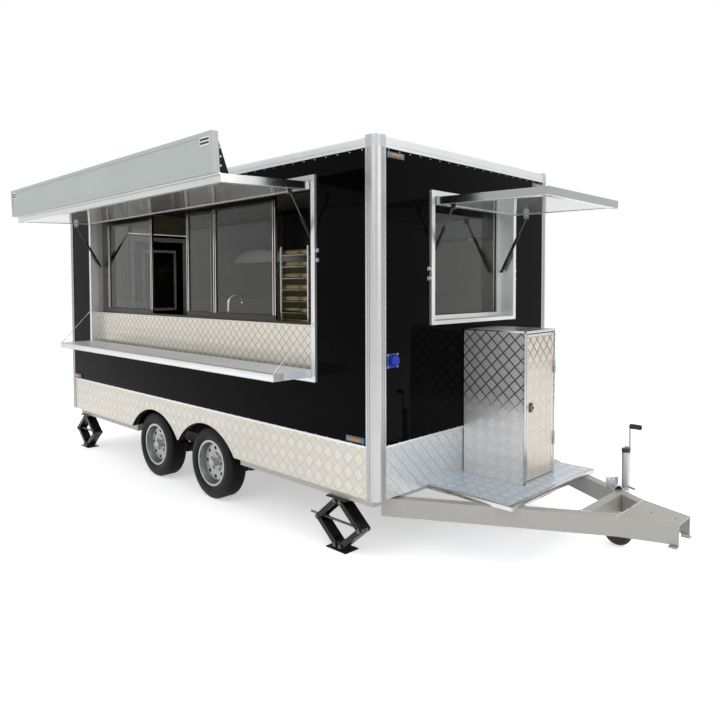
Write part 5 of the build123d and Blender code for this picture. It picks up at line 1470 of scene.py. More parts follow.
@dataclass
class Lamps:
    """Bases and screws of the lamps."""

    border: float = 0.011
    thickness: float = 0.009
    base_round: float = 0.003
    shell_depth: float = 0.6
    shell_round: float = 0.005
    lens_width: float = 0.68
    lens_height: float = 0.52
    lens_round: float = 0.006

    def build(self) -> None:
        """A base plate round every tail lamp, and the marker lamps."""
        piece = Shaper("tail_lamps_bases", BLACK_PLASTIC, "red_lens")
        screws = Shaper("tail_lamps_screws", RIVET, "extrusion")
        for low, high in separate_boxes("tail_lamps"):
            self.base(piece, screws, low, high)
        piece.done()
        screws.done()
        self.markers()

    def markers(self) -> None:
        """Marker lamps: a housing with a smaller lens let into it."""
        housings = Shaper("marker_lamp_housings", LAMP_BASE, "amber_lens")
        lenses = Shaper("marker_lamp_lenses", AMBER, "amber_lens")
        for low, high in separate_boxes("marker_lamps"):
            thin, wide, sign = self.facing(low, high)
            shell, lens = (Vector(low), Vector(high)), (Vector(low), Vector(high))
            depth = (high[thin] - low[thin]) * self.shell_depth
            cut = 1 if sign > 0 else 0
            shell[cut][thin] = shell[1 - cut][thin] + sign * depth
            for axis, share in ((wide, self.lens_width), (2, self.lens_height)):
                inset = (high[axis] - low[axis]) * (1 - share) / 2
                lens[0][axis] += inset
                lens[1][axis] -= inset
            housings.block(*shell, self.shell_round)
            lenses.block(*lens, self.lens_round)
        housings.done()
        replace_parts(lenses.done(), "marker_lamps")

    def facing(self, low: Vector, high: Vector) -> tuple[int, int, float]:
        """Axes of a lens.

        Args:
            low: Its lowest corner.
            high: Its highest corner.

        Returns:
            The axis through the wall, the axis along it and the outward sign.
        """
        size = high - low
        thin = min(range(2), key=lambda axis: size[axis])
        middle = (low[thin] + high[thin]) / 2
        return thin, 1 - thin, 1.0 if middle > (BODY.middle_y if thin else 0.0) else -1.0

    def base(self, piece: Shaper, screws: Shaper, low: Vector, high: Vector) -> None:
        """Adds one base with a screw at each end.

        Args:
            piece: Piece that takes the base.
            screws: Piece that takes the screws.
            low: Lens's lowest corner.
            high: Lens's highest corner.
        """
        thin, wide, sign = self.facing(low, high)
        inner = low if sign > 0 else high
        a, b = Vector(low), Vector(high)
        for axis in (wide, 2):
            a[axis] -= self.border
            b[axis] += self.border
        a[thin], b[thin] = sorted((inner[thin], inner[thin] + sign * self.thickness))
        piece.block(a, b, self.base_round)
        outward = Vector()
        outward[thin] = sign
        for end in (a[wide] + self.border / 2, b[wide] - self.border / 2):
            place = (a + b) / 2
            place[wide] = end
            place[thin] = inner[thin] + sign * self.thickness
            screws.head(place, outward)


@dataclass
class PaneTrim:
    """Rubber seals round the panes and bright beads on the sash stiles, part polished edge and part painted
    highlight.
    """

    seal: float = 0.006
    lap: float = 0.004
    seal_round: float = 0.0015
    bead_places: Span = (0.006, 0.030)
    bead: float = 0.0028
    bead_half: float = 0.0015
    bead_round: float = 0.001
    face: float = 0.006

    def build(self) -> None:
        """Builds seals and beads for each pane."""
        seals = Shaper("pane_seals", BLACK_RUBBER, "window_frame")
        # Bright beads: painted highlight lines on the stiles' edges
        beads = Shaper("sash_highlight_beads", HIGHLIGHT_BEAD, "window_frame")
        for low, high in separate_boxes("window_glass"):
            thin = 0 if high.x - low.x < high.y - low.y else 1
            self.seals(seals, low, high, thin)
            self.beads(beads, low, high, thin)
        seals.done()
        beads.done()

    def seals(self, piece: Shaper, low: Vector, high: Vector, thin: int) -> None:
        """Adds four bars round a pane, proud of both its faces.

        Args:
            piece: Piece that takes the bars.
            low: Pane's lowest corner.
            high: Pane's highest corner.
            thin: Axis across the pane.
        """
        for axis in (1 - thin, 2):
            for end, into in ((low[axis], 1.0), (high[axis], -1.0)):
                a, b = Vector(low), Vector(high)
                a[axis], b[axis] = sorted((end, end + into * self.seal))
                a[thin] -= self.lap
                b[thin] += self.lap
                piece.block(a, b, self.seal_round)

    def beads(self, piece: Shaper, low: Vector, high: Vector, thin: int) -> None:
        """Adds upright bright beads, part polished edge and part painted highlight lines, to the outer face
        of the stiles beside a pane.

        Args:
            piece: Piece that takes the beads.
            low: Pane's lowest corner.
            high: Pane's highest corner.
            thin: Axis across the pane.
        """
        wide = 1 - thin
        face = low[thin] - self.face if thin == 1 else high[thin] + self.face
        for end, out in ((low[wide], -1.0), (high[wide], 1.0)):
            for offset in self.bead_places:
                a, b = Vector(low), Vector(high)
                middle = end + out * offset
                a[wide], b[wide] = middle - self.bead, middle + self.bead
                a[thin], b[thin] = face - self.bead_half, face + self.bead_half
                piece.block(a, b, self.bead_round)


@dataclass
class FrameBolts:
    """Dome nuts in pairs beside the service frame and the front frame."""

    from_front: float = 0.496
    from_rear: float = 0.490
    from_service: Span = (0.489, 1.518)
    service_heights: Span = (1.416, 1.476)
    front_heights: Span = (1.30, 1.36)
    inset: float = 0.006
    washer: float = 0.013
    washer_height: float = 0.002
    nut: float = 0.009
    nut_height: float = 0.009
    dome: float = 0.00765
    dome_height: float = 0.007

    def build(self) -> None:
        """A washer, a hexagon and a dome at every place."""
        piece = Shaper("frame_bolts", ZINC, "extrusion")
        for x in (BODY.front - self.from_front, BODY.rear + self.from_rear):
            for height in self.service_heights:
                place = Vector((x, BODY.service + self.inset, BODY.base + height))
                self.nut_at(piece, place, Side.SERVICE.outward)
        for y in self.from_service:
            for height in self.front_heights:
                place = Vector((BODY.front - self.inset, BODY.service + y, BODY.base + height))
                self.nut_at(piece, place, Side.FRONT.outward)
        piece.done()

    def nut_at(self, piece: Shaper, place: Vector, outward: Vector) -> None:
        """Adds one dome nut on a washer.

        Args:
            piece: Piece that takes it.
            place: Middle of its foot.
            outward: Direction it points to.
        """
        end = place + self.nut_height * outward
        piece.round(place, place + self.washer_height * outward, self.washer, sides=20)
        piece.round(place, end, self.nut, sides=6)
        piece.dome(end, outward, self.dome, self.dome_height, sides=12, rings=8)


@dataclass
class HatchProfile:
    """Flat metal profile round the inner face of a hatch, built on the shut hatch and brought to rest."""

    body: str
    thin: int
    span: Span
    depth: Span
    z: Span
    width: float
    bevel: float = 0.0012
    block_proud: float = 0.0012
    block_round: float = 0.002
    block_rivets: Span = (0.3, 0.7)
    rivet_pitch: float = 0.3

    def build(self) -> None:
        """Builds the bars, the corner blocks and the rivets."""
        self.place = resting(self.body)
        self.sign = 1.0 if self.depth[1] > self.depth[0] else -1.0
        bars = Shaper(f"{self.body}_profile", EXTRUSION, "hatch_panel", self.body)
        near, far = sorted(self.depth)
        first, last = self.point(self.span[0], near, self.z[0]), self.point(self.span[1], far, self.z[1])
        bars.border(first, last, self.thin, self.width, self.bevel, self.place)
        bars.done()
        blocks = Shaper(f"{self.body}_profile_corners", CASTING, "hatch_panel", self.body)
        rivets = Shaper(f"{self.body}_profile_rivets", RIVET, "hatch_panel", self.body)
        top = self.depth[1] + self.sign * self.block_proud
        inner, outer = sorted((self.depth[0], top))
        for end, into in zip(self.span, (1.0, -1.0)):
            for height, rise in zip(self.z, (1.0, -1.0)):
                a, b = sorted((end, end + into * self.width))
                low, high = sorted((height, height + rise * self.width))
                first, last = self.point(a, inner, low), self.point(b, outer, high)
                blocks.block(first, last, self.block_round, self.place)
                for share in self.block_rivets:
                    self.rivet_at(rivets, a + (b - a) * share, top, low + (high - low) * share)
        for along in spread(self.span[0] + 2 * self.width, self.span[1] - 2 * self.width, self.rivet_pitch):
            for height in (self.z[0] + self.width / 2, self.z[1] - self.width / 2):
                self.rivet_at(rivets, along, self.depth[1], height)
        blocks.done()
        rivets.done()

    def point(self, along: float, across: float, height: float) -> Vector:
        """Point of the shut hatch by its place along the panel, across it and up."""
        return Vector((along, across, height) if self.thin else (across, along, height))

    def rivet_at(self, piece: Shaper, *place: float) -> None:
        """Adds a rivet at a point of the shut hatch."""
        outward = self.place.to_3x3() @ self.point(0.0, self.sign, 0.0)
        piece.head(self.place @ self.point(*place), outward)


@dataclass
class ServiceHatchTrim:
    """Edge profile of the service hatch, castings of the sign board, edge and stays of the shelf."""

    thickness: float = 0.046
    length: float = 0.672
    top_gap: float = 0.012
    profile: float = 0.045
    proud: float = 0.003
    knuckle_drop: float = 0.0055
    sign_height: float = 0.228
    sign_thickness: float = 0.043
    rim: float = 0.024
    recess: float = 0.003
    casting: float = 0.05
    casting_under: float = 0.0006
    casting_round: float = 0.0008
    slot: float = 0.006
    slot_depth: float = 0.002
    slot_under: float = 0.0003
    slot_rises: Span = (0.3, 0.7)
    bolt: float = 0.007
    bolt_height: float = 0.004
    bolt_behind: float = 0.009
    bolt_drops: Point = (0.04, 0.09, 0.14)
    edge_proud: float = 0.001
    edge_width: float = 0.03
    edge_lap: float = 0.004
    edge_sheet: float = 0.003
    edge_round: float = 0.0015
    face_round: float = 0.001
    cap_width: float = 0.08
    cap_inset: float = 0.002
    cap_screws: Span = (0.02, 0.06)
    screw: float = 0.005
    screw_height: float = 0.002
    stay: float = 0.0025
    stay_reach: float = 0.0285
    crimp: float = 0.0042
    crimp_span: Span = (0.014, 0.042)
    slack: float = 0.04

    def build(self) -> None:
        """Builds the trims of hatch, sign and shelf."""
        low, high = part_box("service_hatch")
        self.x = (low.x, high.x)
        self.axis = joint_place("service_hatch")
        self.hatch()
        self.sign()
        self.bolts()
        self.shelf()
        self.stays()

    def hatch(self) -> None:
        """Metal profile round the lining, with corner blocks and rivets."""
        face = self.axis.y + self.thickness
        z = (self.axis.z - self.length, self.axis.z - self.top_gap)
        HatchProfile("service_hatch", 1, self.x, (face, face + self.proud), z, self.profile).build()

    def sign(self) -> None:
        """Castings in the upper corners of the sign's face, with black patches on them for the slots'
        openings, painted shade.
        """
        place = resting("sign_board") @ resting("service_hatch")
        face = self.axis.y + self.sign_thickness
        low = self.axis.z - self.length - self.knuckle_drop - self.sign_height + self.rim
        castings = Shaper("sign_castings", EXTRUSION, "hatch_panel", "sign_board")
        slot_shades = Shaper("sign_slot_shades", BLACK_PLASTIC, "hatch_panel", "sign_board")
        for end, into in zip(self.x, (1.0, -1.0)):
            near, far = sorted((end + into * self.rim, end + into * (self.rim + 2.0 * self.casting)))
            first = (near, face - self.recess, low)
            last = (far, face - self.casting_under, low + self.casting)
            castings.block(first, last, self.casting_round, place)
            # Black patches where the slots open: painted shade in the openings
            for rise in self.slot_rises:
                middle = low + rise * self.casting
                first = (near + self.slot, face - self.slot_depth, middle - self.slot)
                last = (far - self.slot, face - self.slot_under, middle + self.slot)
                slot_shades.block(first, last, place=place)
        castings.done()
        slot_shades.done()

    def bolts(self) -> None:
        """Bolts through the sign's stop gussets."""
        place = resting("sign_board") @ resting("service_hatch")
        top = self.axis.z - self.length - self.knuckle_drop
        bolts = Shaper("gusset_bolts", ZINC, "hatch_panel", "sign_board")
        for end, side in zip(self.x, (Side.REAR, Side.FRONT)):
            for drop in self.bolt_drops:
                foot = place @ Vector((end, self.axis.y - self.bolt_behind, top - drop))
                bolts.dome(foot, side.outward, self.bolt, self.bolt_height, sides=12, rings=6)
        bolts.done()

    def shelf(self) -> None:
        """Rounded metal edge of the shelf and its end caps with screws."""
        low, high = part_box("counter_shelf")
        edge = Shaper("shelf_edge", EXTRUSION_LONG, "shelf_panel", "counter_shelf")
        front, back = low.y - self.edge_proud, low.y + self.edge_width
        for z, out in ((low.z, -1.0), (high.z, 1.0)):
            bottom, top = sorted((z + out * self.edge_proud, z - out * self.edge_lap))
            edge.block((low.x, front, bottom), (high.x, back, top), self.edge_round)
        edge.block((low.x, front, low.z), (high.x, low.y + self.edge_sheet, high.z), self.face_round)
        edge.done()
        ends = Shaper("shelf_ends", EXTRUSION, "shelf_panel", "counter_shelf")
        screws = Shaper("shelf_screws", ZINC, "shelf_panel", "counter_shelf")
        for x, side in ((low.x, Side.REAR), (high.x, Side.FRONT)):
            face = x + side.outward.x * self.edge_proud
            a, b = sorted((x, face))
            first = (a, low.y, low.z + self.cap_inset)
            ends.block(first, (b, low.y + self.cap_width, high.z - self.cap_inset))
            for y in self.cap_screws:
                place = (face, low.y + y, (low.z + high.z) / 2)
                screws.dome(place, side.outward, self.screw, self.screw_height, sides=12, rings=6)
        ends.done()
        screws.done()

    def stays(self) -> None:
        """Wire stays with crimped ends, which hang down the frame when the shelf is shut."""
        low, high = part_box("shelf_stays")
        wires = Shaper("shelf_stay_wires", WIRE, "stay_wire")
        near, far = self.crimp_span
        for x, into in ((low.x, 1.0), (high.x, -1.0)):
            top = Vector((x + into * self.stay, high.y - self.stay, high.z - self.stay))
            foot = Vector((x + into * self.stay_reach, low.y + self.stay, low.z + self.stay))
            along = (foot - top).normalized()
            wires.round(top, foot, self.stay, sides=12)
            for end, way in ((top, along), (foot, -along)):
                wires.round(end + near * way, end + far * way, self.crimp, sides=16)
                wires.dome(end, into * Side.FRONT.outward, self.crimp, self.crimp, sides=16, rings=8)
        piece = wires.done()
        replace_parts(piece, "shelf_stays")
        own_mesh(piece)


@dataclass
class FrontHatchTrim:
    """Metal profile round the lining of the front hatch."""

    thickness: float = 0.046
    length: float = 0.7685
    top_gap: float = 0.012
    profile: float = 0.042
    proud: float = 0.003

    def build(self) -> None:
        """Builds the profile."""
        low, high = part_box("front_hatch")
        axis = joint_place("front_hatch")
        face = axis.x - self.thickness
        z = (axis.z - self.length, axis.z - self.top_gap)
        HatchProfile("front_hatch", 0, (low.y, high.y), (face, face - self.proud), z, self.profile).build()


@dataclass
class GasBoxTrim:
    """Smooth edges of the gas bottle box, border and lock of its door."""

    box_length: float = 0.45
    box_width: float = 0.39
    angle: float = 0.009
    sheet: float = 0.0012
    rim: float = 0.014
    gap: float = 0.006
    border: float = 0.012
    hinge: float = 0.02
    lock: Span = (0.034, 0.070)
    lock_half: float = 0.03
    lock_proud: float = 0.006
    lock_round: float = 0.003
    barrel: float = 0.011
    barrel_span: Span = (-0.002, 0.003)
    key_span: Span = (0.002, 0.0045)
    key_half: Span = (0.002, 0.008)

    def build(self) -> None:
        """Builds the edge angles on the box and the trim of its door."""
        self.low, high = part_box("gas_box")
        self.front = self.low.x + self.box_length
        self.far_y = self.low.y + self.box_width
        self.top = high.z
        self.edges()
        self.door()

    def edges(self) -> None:
        """Angles along the top, the door's opening and the front corner, but for the hinge side."""
        piece = Shaper("gas_box_edges", EDGE, "chequer_plate")
        low, front, top, sheet, bevel = self.low, self.front, self.top, self.sheet, self.sheet / 3
        lift, out = top + sheet, front + sheet
        piece.block((front - self.angle, low.y - sheet, low.z), (out, low.y, top), bevel)
        piece.block((front, low.y - sheet, low.z), (out, low.y + self.rim, top), bevel)
        for y, into in ((low.y, 1.0), (self.far_y, -1.0)):
            a, b = sorted((y, y - into * sheet))
            piece.block((low.x, a, top - self.angle), (front, b, lift), bevel)
            a, b = sorted((y, y + into * self.angle))
            piece.block((low.x, a, top), (front, b, lift), bevel)
        near_hinge = self.far_y - self.hinge
        piece.block((front - self.angle, low.y, top), (out, near_hinge, lift), bevel)
        for bottom in (top - self.rim, low.z):
            piece.block((front, low.y, bottom), (out, near_hinge, bottom + self.rim), bevel)
        piece.done()

    def door(self) -> None:
        """Flat border round the door and the black lock on it."""
        inset = self.rim + self.gap
        y = (self.low.y + inset, self.far_y - inset - self.hinge)
        z = (self.low.z + inset, self.top - inset)
        border = Shaper("gas_door_border", EDGE, "chequer_plate", "gas_box_door")
        last = (self.front + self.sheet, y[1], z[1])
        border.border((self.front, y[0], z[0]), last, 0, self.border, self.sheet / 3)
        border.done()
        lock = Shaper("gas_door_lock", BLACK_PLASTIC, "jack_paint", "gas_box_door")
        near, far = (y[0] + part for part in self.lock)
        middle = Vector((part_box("gas_box_door")[1].x, (near + far) / 2, (z[0] + z[1]) / 2))
        first = (self.front, near, middle.z - self.lock_half)
        last = (self.front + self.lock_proud, far, middle.z + self.lock_half)
        lock.block(first, last, self.lock_round)
        start, end = (middle + reach * Side.FRONT.outward for reach in self.barrel_span)
        lock.round(start, end, self.barrel)
        half = Vector((0.0, *self.key_half))
        start, end = (middle + reach * Side.FRONT.outward for reach in self.key_span)
        lock.block(start - half, end + half)
        lock.done()


@dataclass
class DrawbarTrim:
    """Platform lips, weld seams and the jockey wheel's small parts."""

    lip: float = 0.002
    lip_lift: float = 0.0008
    lip_sunk: float = 0.001
    lip_round: float = 0.0006
    strip_round: float = 0.0004
    margin: float = 0.024
    weld: float = 0.0045
    weld_height: float = 0.0025
    bend: float = 0.28
    nose_weld: Span = (0.195, 0.02)
    nose_back: float = 0.008
    body_half: float = 0.815
    bend_half: float = 0.195
    rail_across: float = 0.0719
    tie: Span = (0.475, 0.420)
    tie_lap: float = 0.004
    tube_top: float = 0.62
    tube_cap: Span = (-0.018, 0.004)
    cap_radius: float = 0.0262
    grip_drop: float = 0.014
    grip_length: float = 0.066
    grip_radii: Span = (0.0152, 0.0146)
    ridges: Span = (0.058, 0.008)
    ridge: float = 0.0165
    ridge_half: float = 0.002
    ridge_pitch: float = 0.0085
    collar: float = 0.0265
    collar_drop: float = 0.03
    collar_half: float = 0.006
    screw_angles: Point = (0.4, 2.5, 4.6)
    screw: float = 0.004
    screw_height: float = 0.003
    axle_nut: float = 0.011
    axle_reach: Span = (0.008, 0.015)

    def build(self) -> None:
        """Builds lips, welds and jockey parts."""
        self.lips()
        self.welds()
        self.jockey()
        self.axle_bolt()

    def lips(self) -> None:
        """Smooth strips over the platform's turned down edges."""
        low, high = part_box("drawbar_platform")
        piece = Shaper("platform_lips", EDGE, "chequer_plate")
        top, sunk = high.z + self.lip_lift, high.z - self.lip_sunk
        near, far, end = low.y - self.lip, high.y + self.lip, high.x + self.lip
        piece.block((high.x, near, low.z), (end, far, top), self.lip_round)
        piece.block((high.x - self.margin, near, sunk), (end, far, top), self.strip_round)
        for y, out in ((low.y, -1.0), (high.y, 1.0)):
            a, b = sorted((y, y + out * self.lip))
            piece.block((low.x, a, low.z), (high.x, b, top), self.lip_round)
            a, b = sorted((y + out * self.lip, y - out * self.margin))
            piece.block((low.x, a, sunk), (high.x - self.margin, b, top), self.strip_round)
        piece.done()

    def welds(self) -> None:
        """Beaded seams where the tie and the nose plate meet the rails."""
        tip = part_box("drawbar")[1]
        piece = Shaper("drawbar_welds", ZINC, "drawbar_steel")
        bend = tip.x - self.bend
        slope = (self.body_half - self.bend_half) / (bend - BODY.front)
        nose = bend - self.nose_back
        tie = [tip.x - back for back in self.tie]
        inner = [self.body_half - slope * (x - BODY.front) - self.rail_across for x in tie]
        for side in (-1.0, 1.0):
            lines = [((nose, self.nose_weld[0]), (nose, self.nose_weld[1]))]
            lines += [((x, half), (x, half - self.tie_lap)) for x, half in zip(tie, inner)]
            lines.append(tuple(zip(tie, inner)))
            for ends in lines:
                first, last = (Vector((x, BODY.middle_y + side * half, tip.z)) for x, half in ends)
                self.seam(piece, first, last)
        piece.done()

    def seam(self, piece: Shaper, first: Vector, last: Vector) -> None:
        """Adds a row of overlapping beads.

        Args:
            piece: Piece that takes the beads.
            first: First end.
            last: Last end.
        """
        count = max(2, round((last - first).length / self.weld))
        for index in range(count + 1):
            piece.dome(first.lerp(last, index / count), Side.TOP.outward, self.weld, self.weld_height)

    def jockey(self) -> None:
        """Dark cap and ridged grip, bright collars and their screws."""
        axis, top, end = joint_place("jockey_swivel"), self.tube_top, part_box("jockey_crank")[1]
        black = Shaper("jockey_caps", BLACK_PLASTIC, "jack_paint")
        low, high = (top + rise for rise in self.tube_cap)
        black.round((axis.x, axis.y, low), (axis.x, axis.y, high), self.cap_radius, sides=32)
        grip = (axis.y, end.z - self.grip_drop)
        black.round((end.x - self.grip_length, *grip), (end.x, *grip), *self.grip_radii)
        for x in spread(end.x - self.ridges[0], end.x - self.ridges[1], self.ridge_pitch):
            black.round((x - self.ridge_half, *grip), (x + self.ridge_half, *grip), self.ridge)
        black.done()
        bright = Shaper("jockey_collars", ZINC, "galvanised_steel")
        middle = top - self.collar_drop
        for z in (middle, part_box("jockey_mount")[0].z + self.collar_half):
            low, high = z - self.collar_half, z + self.collar_half
            bright.round((axis.x, axis.y, low), (axis.x, axis.y, high), self.collar, sides=32)
        for angle in self.screw_angles:
            outward = Vector((math.cos(angle), math.sin(angle), 0.0))
            foot = Vector((axis.x, axis.y, middle)) + self.cap_radius * outward
            bright.head(foot, outward, self.screw, self.screw_height)
        bright.done()

    def axle_bolt(self) -> None:
        """A nut at each end of the jockey wheel's axle."""
        low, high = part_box("jockey_wheel")
        bolts = Shaper("jockey_axle_bolt", ZINC, "galvanised_steel", "jockey_swivel")
        for side in (Side.SERVICE, Side.OFF):
            half = (high.y - low.y) / 2
            start, end = ((low + high) / 2 + (half + reach) * side.outward for reach in self.axle_reach)
            bolts.round(start, end, self.axle_nut, sides=6)
        bolts.done()


@dataclass
class JackTrim:
    """Arm backs, pivot bolts and threads of the corner jacks."""

    from_front: float = 0.372
    from_rear: float = 0.210
    inset: float = 0.088
    pin_inset: float = 0.02
    spread_x: float = 0.185
    pivot: float = 0.024
    reach: float = 0.043
    bolt: float = 0.0105
    bolt_height: float = 0.008
    washer: float = 0.014175
    washer_height: float = 0.002
    screw: float = 0.007
    screw_margin: float = 0.02
    thread: float = 0.0016
    thread_root: float = 0.0005
    thread_half: float = 0.45
    pitch: float = 0.006
    steps: int = 10
    back_half: float = 0.037
    back_at: float = 0.012
    back_sheet: float = 0.004
    back_round: float = 0.001

    def build(self) -> None:
        """Adds arm backs, bolts and a thread to each of the four jacks."""
        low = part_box("jack_feet")[1].z - self.pin_inset
        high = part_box("jack_heads")[0].z + self.pin_inset
        middle = (low + high) / 2
        plates = Shaper("jack_arm_backs", JACK, "jack_paint")
        bolts = Shaper("jack_bolts", SCREW, "jack_screw_steel")
        threads = Shaper("jack_threads", SCREW, "jack_screw_steel")
        for x in (BODY.front - self.from_front, BODY.rear + self.from_rear):
            for y in (BODY.service + self.inset, BODY.off - self.inset):
                for side in (-1.0, 1.0):
                    elbow = Vector((x + side * self.spread_x, y, middle))
                    pins = [Vector((x + side * self.pivot, y, z)) for z in (low, high)]
                    for pin in (*pins, elbow):
                        self.bolt_pair(bolts, pin)
                    for pin in pins:
                        self.back(plates, pin, elbow, side)
                self.worm(threads, x, y, middle)
        plates.done()
        bolts.done()
        threads.done()

    def bolt_pair(self, piece: Shaper, pin: Vector) -> None:
        """A hexagon on a washer on each side of the arms."""
        for side in (Side.SERVICE, Side.OFF):
            start = pin + self.reach * side.outward
            piece.round(start, start + self.washer_height * side.outward, self.washer, sides=20)
            piece.round(start, start + self.bolt_height * side.outward, self.bolt, sides=6)

    def back(self, piece: Shaper, start: Vector, end: Vector, side: float) -> None:
        """Closes the outer side of an arm.

        Args:
            piece: Piece that takes the plate.
            start: Pin at the foot or the head.
            end: Pin at the elbow.
            side: Side of the jack, -1 or 1.
        """
        along = (end - start).normalized()
        across = Side.OFF.outward
        out = along.cross(across)
        if out.x * side < 0:
            out, across = -out, -across
        place = Matrix.Translation(start) @ Matrix((along, across, out)).transposed().to_4x4()
        last = ((end - start).length, self.back_half, self.back_at + self.back_sheet)
        piece.block((0.0, -self.back_half, self.back_at), last, self.back_round, place)

    def worm(self, piece: Shaper, x: float, y: float, z: float) -> None:
        """Adds a thread along the screw between the elbows.

        Args:
            piece: Piece that takes it.
            x: Middle of the screw along the body.
            y: Its place across the body.
            z: Its height.
        """
        length = 2 * (self.spread_x - self.screw_margin)
        turns = length / self.pitch
        start = x - length / 2
        half, root = self.thread_half * self.pitch, z + self.screw - self.thread_root
        outline = [
            Vector((start - half, y, root)), Vector((start, y, z + self.screw + self.thread)),
            Vector((start + half, y, root)),
        ]
        steps = round(turns * self.steps)
        piece.turn(outline, (start, y, z), Side.FRONT.value, steps, math.tau * turns, length / steps)


@dataclass
class PowerInlet:
    """Power inlet with a back plate and a domed lid."""

    border: float = 0.008
    plate: float = 0.007
    plate_round: float = 0.003
    pin: float = 0.004
    pin_half: float = 0.014
    pin_at: float = 0.022
    pin_drop: float = 0.002
    neck: Point = (0.0335, 0.0325, 0.02)
    collar: Point = (0.035, 0.018, 0.026)
    lid: Span = (0.0335, 0.019)
    screw_out: float = 0.002

    def build(self) -> None:
        """Back plate with the hinge pin, round housing with a domed lid, and screws."""
        low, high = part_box("power_inlet")
        outward = Side.FRONT.outward
        foot = Vector((low.x, (low.y + high.y) / 2, (low.z + high.z) / 2))
        plate = Shaper("inlet_plate", BLUE_DARK, "blue_plastic")
        first = (low.x, low.y - self.border, low.z - self.border)
        last = (low.x + self.plate, high.y + self.border, high.z + self.border)
        plate.block(first, last, self.plate_round)
        hinge = Vector((low.x + self.pin_at, foot.y, high.z - self.pin_drop))
        half = self.pin_half * Side.OFF.outward
        plate.round(hinge - half, hinge + half, self.pin, sides=16)
        plate.done()
        housing = Shaper("inlet_housing", BLUE, "blue_plastic")
        wide, narrow, reach = self.neck
        housing.round(foot, foot + reach * outward, wide, narrow, sides=40)
        radius, near, far = self.collar
        housing.round(foot + near * outward, foot + far * outward, radius, sides=40)
        housing.dome(foot + far * outward, outward, *self.lid, sides=40, rings=16)
        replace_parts(housing.done(), "power_inlet")
        screws = Shaper("inlet_screws", RIVET, "extrusion")
        for y in (low.y - self.screw_out, high.y + self.screw_out):
            for z in (low.z - self.screw_out, high.z + self.screw_out):
                place = (low.x + self.plate, y, z)
                screws.head(place, outward)
        screws.done()


@dataclass
class RearDoorTrim:
    """Lock plate and kick plate of the rear door, its lining frame and pane."""

    proud: float = 0.008
    thickness: float = 0.045
    half: float = 0.38
    height: float = 1.78
    plate_inset: float = 0.03
    lock_plate: Point = (0.075, 0.92, 1.2)
    lock_sheet: float = 0.003
    kick_plate: Point = (0.04, 0.02, 0.2)
    kick_sheet: float = 0.002
    plate_round: float = 0.001
    pane_rise: float = 0.75
    pane_inset: float = 0.19
    pane: float = 0.004
    pane_round: float = 0.0015
    # Width of each lining frame and its distance from the edge
    frames: tuple[Span, ...] = ((0.05, 0.03), (0.03, 0.17))
    frame: float = 0.008
    frame_round: float = 0.002

    def build(self) -> None:
        """Builds the plates outside, and the white frames and the dark pane inside."""
        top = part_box("rear_door")[1].z
        face = BODY.rear - self.proud
        inner = face + self.thickness
        near, far, foot = BODY.middle_y - self.half, BODY.middle_y + self.half, top - self.height
        plate = Shaper("door_lock_plate", STAINLESS, "extrusion", "rear_door")
        edge = near + self.plate_inset
        reach, low, high = self.lock_plate
        first = (face - self.lock_sheet, edge, foot + low)
        plate.block(first, (face, near + reach, foot + high), self.plate_round)
        reach, low, high = self.kick_plate
        first = (face - self.kick_sheet, edge, foot + low)
        plate.block(first, (face, far - reach, foot + high), self.plate_round)
        plate.done()
        white = Shaper("door_lining_frame", WHITE_TRIM, "black_panel", "rear_door")
        rise = foot + self.pane_rise
        for width, inset in self.frames:
            last = (inner + self.frame, far - inset, top - inset)
            white.border((inner, near + inset, rise + inset), last, 0, width, self.frame_round)
        white.done()
        pane = Shaper("door_pane", DARK_PANE, "glass", "rear_door")
        inset = self.pane_inset
        last = (inner + self.pane, far - inset, top - inset)
        pane.block((inner, near + inset, rise + inset), last, self.pane_round)
        pane.done()


def seen_directly(graph: Graph) -> Socket:
    """Marks rays of the camera, of reflections and of views through glass.

    Args:
        graph: Graph of a world or a material.

    Returns:
        1 for such a ray, else 0.
    """
    path = graph.add("LightPath")
    mirrored = graph.math("MAXIMUM", path.outputs["Is Glossy Ray"], path.outputs["Is Transmission Ray"])
    return graph.math("MAXIMUM", path.outputs["Is Camera Ray"], mirrored)


